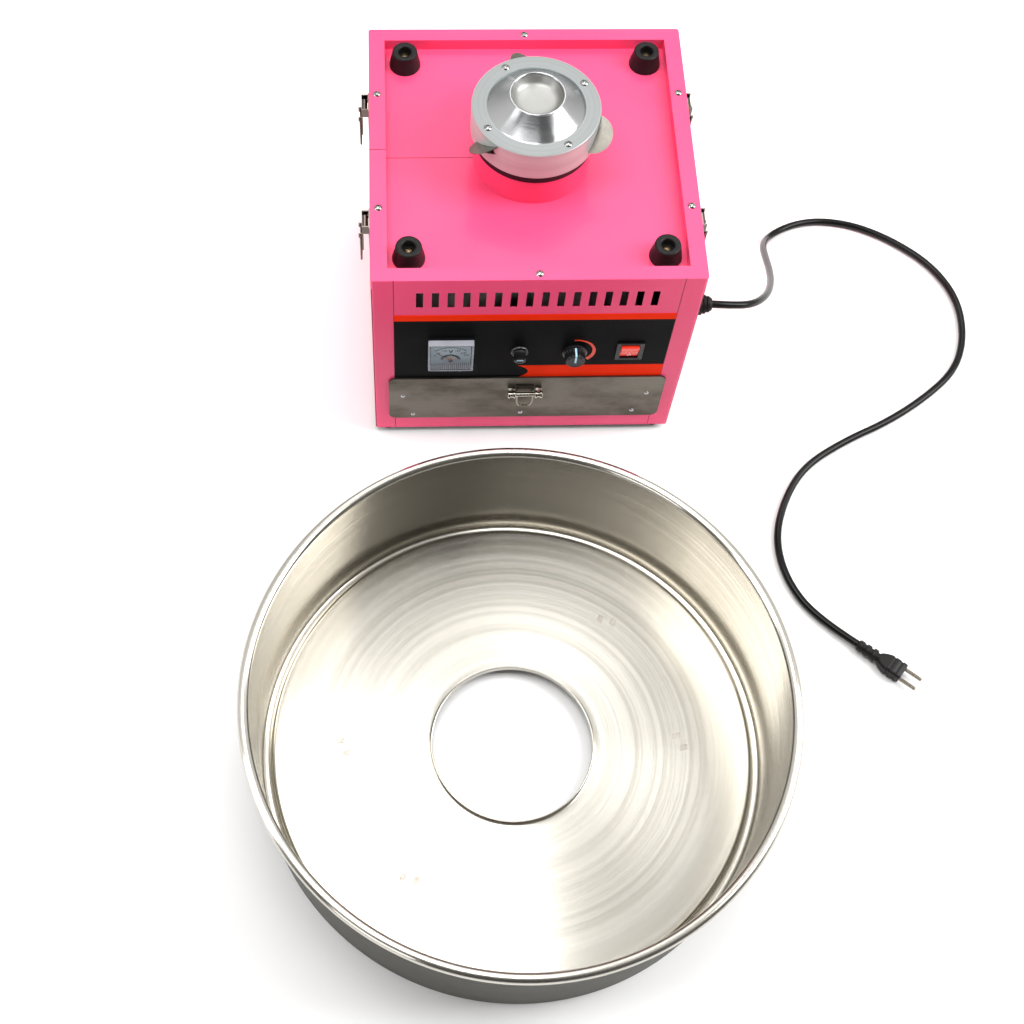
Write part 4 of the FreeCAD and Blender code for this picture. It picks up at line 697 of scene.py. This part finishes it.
def sugar_cone():
    """The spun cone: flared skirt, rolled lip and the shallow cup that takes the sugar."""
    foot = HEAD_TOP - 1.7
    lip = CONE_TOP - 1.35
    cup = CONE_TOP - 11
    skirt = [(51.8, foot - 0.9), (51.8, foot), (47.6, foot)]
    for step in range(1, 13):
        part = step / 12
        skirt.append((47.6 - 20.2 * part - 1.0 * math.sin(math.pi * part),
                      foot + (lip - foot) * part))
    roll = arc_points((26.3, lip), 1.35, 0, 180, 14)
    bowl = [(24.6, lip - 1.5), (23.6, lip - 3.4), (22.3, cup + 3.4), (20.6, cup + 1.5),
            (18.2, cup + 0.55), (15.5, cup + 0.2), (12.5, cup + 0.05), (8, cup),
            (0, cup)]
    under = [(0, cup - 1.0), (18, cup - 1.0), (22, cup + 1.2), (25.4, lip - 2.0),
             (45.8, foot - 0.9), (51.8, foot - 0.9)]
    piece = turned("cone_spinning", skirt + roll + bowl, HEAD_POLISH, "head",
                   ("sugar_cone",), CONE_STEPS, crease=50)
    piece.data.materials.append(HEAD_CUP)
    for face in piece.data.polygons:
        if face.index // CONE_STEPS >= len(skirt + roll):
            face.material_index = 1
    turned("cone_underside", under, HEAD_SATIN, "head", (), 96)


sugar_cone()
cross_screw("head_ring_screws", 4.0, 1.8, 1.2, RING_SCREWS, "head", ("ring_screws",), 0.4,
            SCREW_STEEL)
cross_screw("frame_screw_heads", 4.1, 2.0, 1.3, FRAME_SCREWS, "cabinet",
            ("top_frame_screws",), 0.2, SCREW_STEEL)


# ------------------------ cushions
CUSHIONS = [(x, y) for x in (-124.7, 124.7) for y in (-123, 123)]
WELL_FLOOR = 11.2


def cushions():
    """Four rubber cones on the deck, each with a well and the screw that holds it."""
    profile = [(0, 0), (16.0, 0), (16.1, 0.6), (15.9, 2.0), (14.4, 9.0), (12.9, 15.8)]
    profile += arc_points((10.9, 17.2), 2.0, 0, 90, 8)
    profile += [(8.2, 19.2), (7.2, 18.9), (6.6, 18.2), (6.5, 12.0), (6.2, WELL_FLOOR),
                (0, WELL_FLOOR)]
    for number, (x, y) in enumerate(CUSHIONS):
        nodes = ("pan_cushions",) if number == 0 else ()
        turned("cushion_%d" % number, profile, RUBBER, "cabinet", nodes, 96,
               (x, y, DECK))
    seats = [(x, y, DECK + WELL_FLOOR + 0.1) for x, y in CUSHIONS]
    cross_screw("cushion_screw_heads", 4.4, 1.6, 1.1, seats, "cabinet", ("cushion_screws",),
                0.7, COPPER_ZINC)


cushions()


# ------------------------ control panel
METER = (-82.5, 162.0)
METER_PIVOT = (-82.5, 150.0)
METER_FRONT = METER_FACE - 6.2
FUSE_X, KNOB_X, SWITCH_X, CONTROLS_Z = -12.0, 44.5, 101.0, 160.0
ROCKER_LEAN = math.radians(9.5)


def proud(x, face, z):
    """A frame on the front: its +X stands out from the panel, +Y is right and +Z is up."""
    place = Vector((x, face, z)) * MM
    return Matrix.Translation(place) @ Matrix.Rotation(-math.pi / 2, 4, "Z")


def facing(x, face, z):
    """A frame on the front whose +Z stands out from the panel, for turned pieces."""
    return Matrix.Translation(Vector((x, face, z)) * MM) @ FORWARD


def rectangle(left, right, low, high):
    """An upright rectangle as an outline."""
    return [(left, low), (right, low), (right, high), (left, high)]


def flat_shape(work, points, face, thick=0.15):
    """A thin printed shape: its outline as (x, z) in millimetres, raised off a face."""
    front = [work.verts.new((x * MM, (face - thick) * MM, z * MM)) for x, z in points]
    back = [work.verts.new((x * MM, face * MM, z * MM)) for x, z in points]
    work.faces.new(front)
    work.faces.new(back[::-1])
    for step in range(len(points)):
        after = (step + 1) % len(points)
        work.faces.new((front[step], back[step], back[after], front[after]))


def ribbon(centre, radius, start, end, width_start, width_end, steps=24):
    """A curved band about a centre, from one angle and width to another."""
    outer, inner = [], []
    for step in range(steps + 1):
        part = step / steps
        angle = math.radians(start + (end - start) * part)
        half = (width_start + (width_end - width_start) * part) / 2
        outer.append((centre[0] + (radius + half) * math.cos(angle),
                      centre[1] + (radius + half) * math.sin(angle)))
        inner.append((centre[0] + (radius - half) * math.cos(angle),
                      centre[1] + (radius - half) * math.sin(angle)))
    return outer + inner[::-1]


def shapes_piece(name, outlines, face, material, body, thick=0.15):
    """Several thin shapes on one face, as one piece."""
    work = bmesh.new()
    for points in outlines:
        flat_shape(work, points, face, thick)
    # A concave outline is cut into triangles well only once its normal is right.
    bmesh.ops.recalc_face_normals(work, faces=work.faces)
    bmesh.ops.triangulate(work, faces=[f for f in work.faces if len(f.verts) > 4])
    return finish_mesh(name, take_mesh(work, name), material, body, 30)


def bar(centre, angle, inner, outer, width):
    """A radial tick from a centre, as an outline."""
    c, s = math.cos(math.radians(angle)), math.sin(math.radians(angle))
    return [(centre[0] + r * c - h * s, centre[1] + r * s + h * c)
            for r, h in ((inner, -width / 2), (outer, -width / 2), (outer, width / 2),
                         (inner, width / 2))]


def figures(name, text, size, x, z, face):
    """Printed figures on the dial, centred at a place on a face."""
    curve = bpy.data.curves.new(name, "FONT")
    curve.body = text
    curve.size = size * MM
    curve.align_x = "CENTER"
    curve.align_y = "CENTER"
    curve.extrude = 0.05 * MM
    mesh = curve_mesh(curve)
    mesh.transform(facing(x, face, z))
    finish_mesh(name, mesh, INK, "cabinet", 30)


def meter():
    """The clear cover with its frosted frame and dark edge lines."""
    x, z = METER
    stations = [(6.6, 21.8, 21.8, 1.5), (0.1, 22.1, 22.1, 1.6), (0.05, 23.4, 23.4, 2.0),
                (6.4, 23.4, 23.4, 2.0), (7.4, 23.1, 23.1, 2.0), (7.8, 22.4, 22.4, 1.8)]
    cover = section_loft("meter_window", stations, CLEAR, "cabinet",
                         proud(x, METER_FACE, z))
    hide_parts("meter_cover")
    frame_bars = [rectangle(x - 22.8, x + 22.8, z + level - 0.6, z + level + 0.6)
                  for level in (22.3, -22.3)]
    frame_bars += [rectangle(x + side - 0.7, x + side + 0.7, z - 21.7, z + 21.7)
                   for side in (-22.2, 22.2)]
    shapes_piece("meter_frame", frame_bars, METER_FACE, FROSTED, "cabinet",
                 6.6)
    edge = [rectangle(x - 21.4, x + 21.4, z + level, z + level + 0.6)
            for level in (21.0, -21.6)]
    shapes_piece("meter_edge", edge, METER_FRONT, INK, "cabinet", 0.4)


def meter_face():
    """The scale, its figures, the unit letter and the coil round the needle's pivot."""
    dial = METER_FACE - 0.5
    scale = [ribbon(METER_PIVOT, 22.5, 134, 46, 0.6, 0.6),
             ribbon(METER_PIVOT, 9.0, 172, 8, 3.0, 3.0)]
    scale += [bar(METER_PIVOT, angle, 22.5, 25.2 if number % 5 == 0 else 24, 0.4)
              for number, angle in enumerate(range(134, 45, -4))]
    shapes_piece("meter_scale", scale, dial, INK, "cabinet", 0.12)
    for number, (text, angle) in enumerate((("0", 152), ("60", 136), ("120", 112),
                                            ("180", 68), ("240", 44), ("300", 28))):
        spot = (METER_PIVOT[0] + 18.2 * math.cos(math.radians(angle)),
                METER_PIVOT[1] + 18.2 * math.sin(math.radians(angle)))
        figures("meter_figure_%d" % number, text, 4.2, *spot, dial - 0.08)
    letter = [[(METER[0] + hand * x, 163.4 + z) for x, z in
               ((0, 0), (0.75, 0), (2.3, 5.2), (1.2, 5.2), (0, 1.6))] for hand in (-1, 1)]
    shapes_piece("meter_unit", letter, dial - 0.1, INK, "cabinet", 0.12)
    coil = [bar(METER_PIVOT, angle, 1.6, 6.8, 1.3) for angle in (156, 124, 96, 62, 28)]
    shapes_piece("meter_coil", coil, dial - 0.12, COPPER, "cabinet", 0.25)


def meter_ribs():
    """The ribs of the clear block over the movement."""
    starts = [METER[0] + 2.0 * number - 20.3 for number in range(21)]
    ribs = [rectangle(start, start + 0.6, 141.6, 153.5) for start in starts]
    shapes_piece("meter_ribs", ribs, METER_FRONT, RIB_GREY, "cabinet", 0.6)


def fuse():
    """The fuse holder's bezel and its knurled cap with a slot for a coin."""
    teeth = 40
    ring = [(7.0, -0.4), (9.0, -0.4), (9.0, 1.2), (8.6, 1.8), (7.6, 2.0), (7.1, 1.7),
            (7.0, -0.4)]
    turned("fuse_bezel", ring, BEZEL_GREY, "cabinet", (), 96,
           (FUSE_X, PANEL_FACE, CONTROLS_Z), FORWARD)
    stations = ((2.3, 6.2, 0), (2.6, 6.3, 0), (3.0, 6.15, 0.28), (9.6, 6.0, 0.28),
                (10.2, 5.95, 0), (11.2, 5.9, 0), (11.7, 5.2, 0), (11.8, 4.2, 0),
                (11.5, 3.9, 0), (11.5, 0.01, 0))
    cap = grip("fuse_cap_knurled", stations, 160,
               lambda angle: 0.5 + 0.5 * math.cos(teeth * angle), "fuse",
               facing(FUSE_X, PANEL_FACE, CONTROLS_Z))
    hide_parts("fuse_cap")
    slot = [rectangle(FUSE_X - 3.4, FUSE_X + 3.4, CONTROLS_Z - 0.6, CONTROLS_Z + 0.6)]
    shapes_piece("fuse_cap_slot", slot, PANEL_FACE - 11.5, POINTER, "fuse",
                 0.1)


def knob():
    """A fluted knob with a skirt, a flat-topped grip and a light blue pointer line."""
    flutes = 18
    stations = ((0.9, 12.2, 0), (1.0, 12.8, 0), (1.8, 13.0, 0), (3.2, 12.7, 0),
                (3.7, 11.8, 0), (4.2, 10.9, 0.2), (5.2, 10.7, 0.8), (9, 10.5, 0.9),
                (12.6, 10.2, 0.9), (13.4, 9.9, 0.6), (14.1, 9.3, 0.2), (14.2, 8.6, 0),
                (13.8, 8.2, 0), (13.8, 0.01, 0))
    knob_piece = grip("heat_knob", stations, 216,
                      lambda angle: max(0.0, math.cos(flutes * angle)) ** 1.5, "knob",
                      facing(KNOB_X, PANEL_FACE, CONTROLS_Z))
    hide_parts("temperature_knob")
    left, right = KNOB_X - 0.95, KNOB_X + 0.95
    shapes_piece("knob_pointer", [rectangle(left, right, CONTROLS_Z - 1.5, CONTROLS_Z + 10.4)],
                 PANEL_FACE - 13.7, POINTER, "knob", 0.45)
    shapes_piece("knob_pointer_end", [rectangle(left, right, 169.3, 170.9)],
                 PANEL_FACE - 4.0, POINTER, "knob", 9.5)
    mark = [ribbon((45, 159.5), 19.5, 96, -48, 1.4, 4.6, 40)]
    shapes_piece("knob_scale", mark, PANEL_FACE + 0.05, PRINT, "cabinet")


def pushed_sheet(name, profile, half, corner, material, body, matrix):
    """A side profile of (out, up) pushed across by half each way, its ends rounded off."""
    work = bmesh.new()
    rows = []
    middle = Vector((sum(p[0] for p in profile), sum(p[1] for p in profile))) / len(profile)
    for hand, part in [(-1, k) for k in range(5, -1, -1)] + [(1, k) for k in range(6)]:
        angle = part / 5 * math.pi / 2
        across = hand * (half - corner + corner * math.sin(angle))
        inset = corner * (1 - math.cos(angle))
        row = []
        for out, up in profile:
            away = Vector((out, up)) - middle
            pulled = middle + away * (1 - inset / max(away.length, 0.1))
            row.append(work.verts.new((pulled.x * MM, across * MM, pulled.y * MM)))
        rows.append(row)
    skin(work, rows)
    work.faces.new(rows[0])
    work.faces.new(rows[-1])
    return finish_mesh(name, take_mesh(work, name, matrix), material, body, 30)


def switch():
    """The switch's raised frame and its red rocker, the upper half pushed out."""
    section_loft("switch_frame",
                 ((0.0, 14.0, 14.5, 1.6), (1.4, 14.0, 14.5, 1.6), (2.2, 13.2, 13.7, 1.4),
                  (2.2, 10.4, 12.4, 0.8), (1.7, 9.8, 11.8, 0.6), (-3.0, 9.7, 11.7, 0.6)),
                 BLACK_PLASTIC, "cabinet",
                 proud(SWITCH_X, PANEL_FACE, CONTROLS_Z), capped=False)
    front = [(3.4, -9.9), (3.5, -9.2), (4.2, -4.6), (5.0, -0.35), (5.1, 0.0), (5.25, 0.35),
             (6.3, 4.6), (7.2, 9.2), (7.1, 9.9)]
    back = [(-1.5, 8.6), (-4.0, 0), (-1.5, -8.6)]
    tip = pushed_sheet("switch_rocker_red", front + back, 9.2, 0.8, ROCKER, "rocker",
                       proud(SWITCH_X, PANEL_FACE + 3, CONTROLS_Z))
    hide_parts("switch_rocker")
    work = bmesh.new()
    flat_shape(work, ribbon((0, 0), 1.7, 0, 340, 0.5, 0.5), 0, 0.3)
    flat_shape(work, rectangle(-0.25, 0.25, 2.4, 5.4), 0, 0.3)
    place = Matrix.Translation(Vector((SWITCH_X, PANEL_FACE - 1.15, 153.5)) * MM)
    mesh = take_mesh(work, "switch_mark", place @ Matrix.Rotation(ROCKER_LEAN, 4, "X"))
    finish_mesh("switch_mark", mesh, MARK_WHITE, "rocker", 30)


meter()
meter_face()
meter_ribs()
fuse()
knob()
switch()


# ------------------------ cabinet floor
LIP_PLACE = (0.16015, 0, 0.0105)
LIP_SIZE = (0.0015, 0.31, 0.0012)


def floor_edges():
    """The thin lips that close the floor's gap to each side panel."""
    work = bmesh.new()
    for side in (-1, 1):
        place = Matrix.Translation(Vector((side, 1, 1)) * Vector(LIP_PLACE))
        bmesh.ops.create_cube(work, size=1, matrix=place @ Matrix.Diagonal((*LIP_SIZE, 1)))
    finish_mesh("floor_edges", take_mesh(work, "floor_edges"), DARK_STEEL, "cabinet")


floor_edges()


# ------------------------ drawer and its handle
HANDLE_X, HANDLE_Z = -2, 89.5
HANDLE = Vector((HANDLE_X, PLATE_FACE - 6, HANDLE_Z))
KNUCKLE_X = 14.3
BAIL_HALF = 8.4
BAIL_DROP = 23


def rivets():
    """Round rivet heads on the drawer's plate, each with a small dimple."""
    profile = [(0, -0.5), (2.6, -0.5), (2.6, 0.1), (2.4, 0.5), (1.9, 0.85), (1.3, 1.0),
               (0.9, 0.95), (0.6, 0.6), (0, 0.5)]
    spots = ((-131.5, 79), (-120.7, 42), (129.5, 80), (117.9, 45), (-3.8, 43))
    for number, (x, z) in enumerate(spots):
        nodes = ("drawer_screws",) if number == 0 else ()
        turned("plate_rivet_%d" % number, profile, SCREW_STEEL, "drawer", nodes,
               32, (x, PLATE_FACE, z), FORWARD)


def wire(name, points, radius, material, body):
    """A round wire along points in millimetres."""
    curve = bpy.data.curves.new(name, "CURVE")
    curve.dimensions = "3D"
    curve.bevel_depth = radius * MM
    curve.bevel_resolution = 8
    curve.resolution_u = 12
    curve.use_fill_caps = True
    add_spline(curve, [place * MM for place in points])
    return finish_mesh(name, curve_mesh(curve), material, body, 50)


def handle():
    """Backing leaf, two barrel knuckles on webs, the hinge rod and the hanging D ring."""
    # The leaf carries painted shade for the recess behind the rod.
    leaf = section_loft("handle_leaf", [(-0.2, 9.4, 5.4, 1), (1.1, 9.4, 5.4, 1),
                                        (1.4, 9.1, 5.1, 0.8)], HANDLE_LEAF_SHADE, "drawer",
                        proud(HANDLE_X, PLATE_FACE, 94.0))
    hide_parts("handle_bracket")
    for sign in (-1, 1):
        barrel = [(1.7, -4.0), (3.7, -4.0), (4.1, -3.6), (4.1, -1.9), (3.2, -1.3),
                  (3.2, 1.3), (4.1, 1.9), (4.1, 3.6), (3.7, 4.0), (1.7, 4.0)]
        turned("handle_knuckle_%d" % (sign + 2), barrel, BRIGHT_NICKEL, "drawer", (),
               64, HANDLE + Vector((KNUCKLE_X * sign, 0, 0)), SIDEWAYS)
        section_loft("handle_web_%d" % (sign + 2), [(0.5, 3.8, 3.6, 1), (5.4, 3.6, 2.6, 1)],
                     BRIGHT_NICKEL, "drawer",
                     proud(HANDLE_X + KNUCKLE_X * sign, PLATE_FACE, HANDLE_Z))
    side = [(1, 0), (1, 5), (1, 12), (0.85, 19.5), (0.42, BAIL_DROP)]
    ring = [HANDLE + Vector((-BAIL_HALF * part, 0, -down)) for part, down in side]
    ring += [HANDLE + Vector((BAIL_HALF * part, 0, -down)) for part, down in reversed(side)]
    bail = wire("handle_ring", ring, 1.25, NICKEL, "bail")
    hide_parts("handle_bail")
    rod = [(0, -18.2), (1.1, -18.2), (1.5, -17.8), (1.5, -10.2), (2.2, -10.0),
           (2.2, 10.0), (1.5, 10.2), (1.5, 17.8), (1.1, 18.2), (0, 18.2)]
    turned("handle_rod", rod, BRIGHT_NICKEL, "bail", (), 48, HANDLE, SIDEWAYS)


rivets()
handle()


# ------------------------ pan
PAN_STEPS = 256
CATCH_ANGLES = (51.8, -0.2, 231.8, 179.8)
MARK_OUTLINE = ((164.8, -3.6), (172.6, -2.4), (173.2, 3.6), (165.4, 2.4))


def catch_marks():
    """Small square press marks where the catches are spot-welded under the floor."""
    work = bmesh.new()
    for angle in CATCH_ANGLES:
        spin = Matrix.Rotation(math.radians(angle), 4, "Z")
        for hand in (-1, 1):
            rows = [[work.verts.new(spin @ (Vector((x - hand * 3, hand * 6.2 + y, z)) * MM))
                     for x, y in MARK_OUTLINE] for z in (14.0, 14.25)]
            skin(work, rows)
            work.faces.new(rows[1])
    marks = finish_mesh("pan_catch_marks", take_mesh(work, "pan_catch_marks"), WELD_MARK,
                        "pan", 30)
    marks.location = Vector((*PAN_CENTRE, 0)) * MM


def pan():
    """The spun bowl: raised floor with a hemmed hole, gutter, wall and rolled bead."""
    hem = [(80.0, 13.0), (80.0, 18.2)] + arc_points((80.9, 18.2), 0.9, 180, 20, 8)
    floor = [(81.3, 17.0), (81.5, 15.2), (82.3, 14.3), (84.0, 14.0)]
    floor += [(radius, 14.0) for radius in range(90, 236, 5)]
    gutter = [(236.5, 14.0), (238.2, 13.7), (239.2, 12.6), (240.4, 4.0), (240.9, 2.0),
              (242.2, 1.05), (245.0, 1.0), (247.4, 1.1), (248.9, 1.9), (249.4, 3.4)]
    wall = [(249.45, 8.0), (249.5, 60.0), (249.5, 110.0), (249.5, 150.0)]
    bead = arc_points((254.75, 154.5), 5.25, 180, -100, 44)
    wall_rows = len(hem + floor + gutter)
    inner_rows = wall_rows + len(wall + bead)
    outside = [(252.2, 149.9), (250.8, 151.0), (250.5, 149.0), (250.5, 60.0), (250.5, 3.0),
               (249.7, 1.0), (248.0, 0.1), (241.5, 0.0), (240.1, 0.9), (238.4, 11.6),
               (237.2, 12.9), (235.0, 13.0), (160.0, 13.0), (80.0, 13.0)]
    bowl = turned("pan_spun", hem + floor + gutter + wall + bead + outside, STAINLESS,
                  "pan", ("pan_bowl",), PAN_STEPS, (*PAN_CENTRE, 0), crease=40)
    bowl.data.materials.append(PAN_WALL_SHADED)
    bowl.data.materials.append(PAN_OUTSIDE_SHADED)
    # The wall and the outside take the darker copies of the steel: painted shade.
    for face in bowl.data.polygons:
        row = face.index // PAN_STEPS
        if row >= inner_rows:
            face.material_index = 2
        elif wall_rows <= row < wall_rows + len(wall):
            face.material_index = 1


pan()
catch_marks()


# ------------------------ floor and light
SKY_TOP, SKY_SIDES, SKY_BASE, SKY_FRONT = 0.72, 0.80, 0.04, 0.12


def studio_floor():
    """White paper just under the rubber feet and the pan."""
    paper = Shader("studio_paper", (0.93, 0.93, 0.93), 0.8)
    paper.bump(paper.noise(300, 3), 0.02, 0.0002)
    bpy.ops.mesh.primitive_plane_add(size=30)
    ground = bpy.context.object
    ground.name = "studio_floor"
    ground.location = (0, 0, -0.0004)
    ground.data.materials.append(paper.material)


def sky():
    """Room light: bright overhead, behind and to both sides, dim towards the viewer."""
    world = bpy.data.worlds.new("studio")
    world.use_nodes = True
    scene.world = world
    tree = world.node_tree
    place = tree.nodes.new("ShaderNodeTexCoord")
    parts = tree.nodes.new("ShaderNodeSeparateXYZ")
    tree.links.new(place.outputs["Generated"], parts.inputs["Vector"])
    height = math_node(tree, "MAXIMUM", parts.outputs["Z"], 0.0)
    height = math_node(tree, "MULTIPLY", height, SKY_TOP)
    sides = math_node(tree, "ABSOLUTE", parts.outputs["X"])
    sides = math_node(tree, "MULTIPLY", sides, SKY_SIDES)
    fade = tree.nodes.new("ShaderNodeMapRange")
    for socket, number in zip(("From Min", "From Max", "To Min", "To Max"),
                              (-0.40, 0.05, SKY_FRONT, 1.0)):
        fade.inputs[socket].default_value = number
    tree.links.new(parts.outputs["Y"], fade.inputs["Value"])
    strength = math_node(tree, "MULTIPLY", math_node(tree, "ADD", height, sides),
                         fade.outputs["Result"])
    strength = math_node(tree, "ADD", strength, SKY_BASE)
    background = tree.nodes["Background"]
    background.inputs["Color"].default_value = (1.0, 0.985, 0.955, 1)
    tree.links.new(strength, background.inputs["Strength"])


def softbox(name, place, target, size, watts):
    """A rectangular lamp that faces a target."""
    data = bpy.data.lights.new(name, "AREA")
    data.shape = "RECTANGLE"
    data.size, data.size_y = size
    data.energy = watts
    lamp = bpy.data.objects.new(name, data)
    lamp.location = place
    aim = Vector(target) - Vector(place)
    lamp.rotation_euler = aim.to_track_quat("-Z", "Y").to_euler()
    scene.collection.objects.link(lamp)


studio_floor()
sky()
softbox("right_box", (1.75, -0.35, 1.7), (0, -0.3, 0), (1.1, 1.9), 56)
softbox("left_box", (-2.2, -0.7, 1.0), (0, -0.25, 0), (0.8, 1.5), 14)
softbox("top_left", (-0.48, -0.25, 2.3), (-0.48, -0.25, 0), (1.35, 1.15), 27)
softbox("top_back", (0.2, 1.35, 2.2), (0.1, -0.1, 0.2), (1.8, 0.7), 13)
softbox("front_left", (-1.5, -2.3, 1.0), (0, 0, 0.15), (1.0, 1.0), 8)
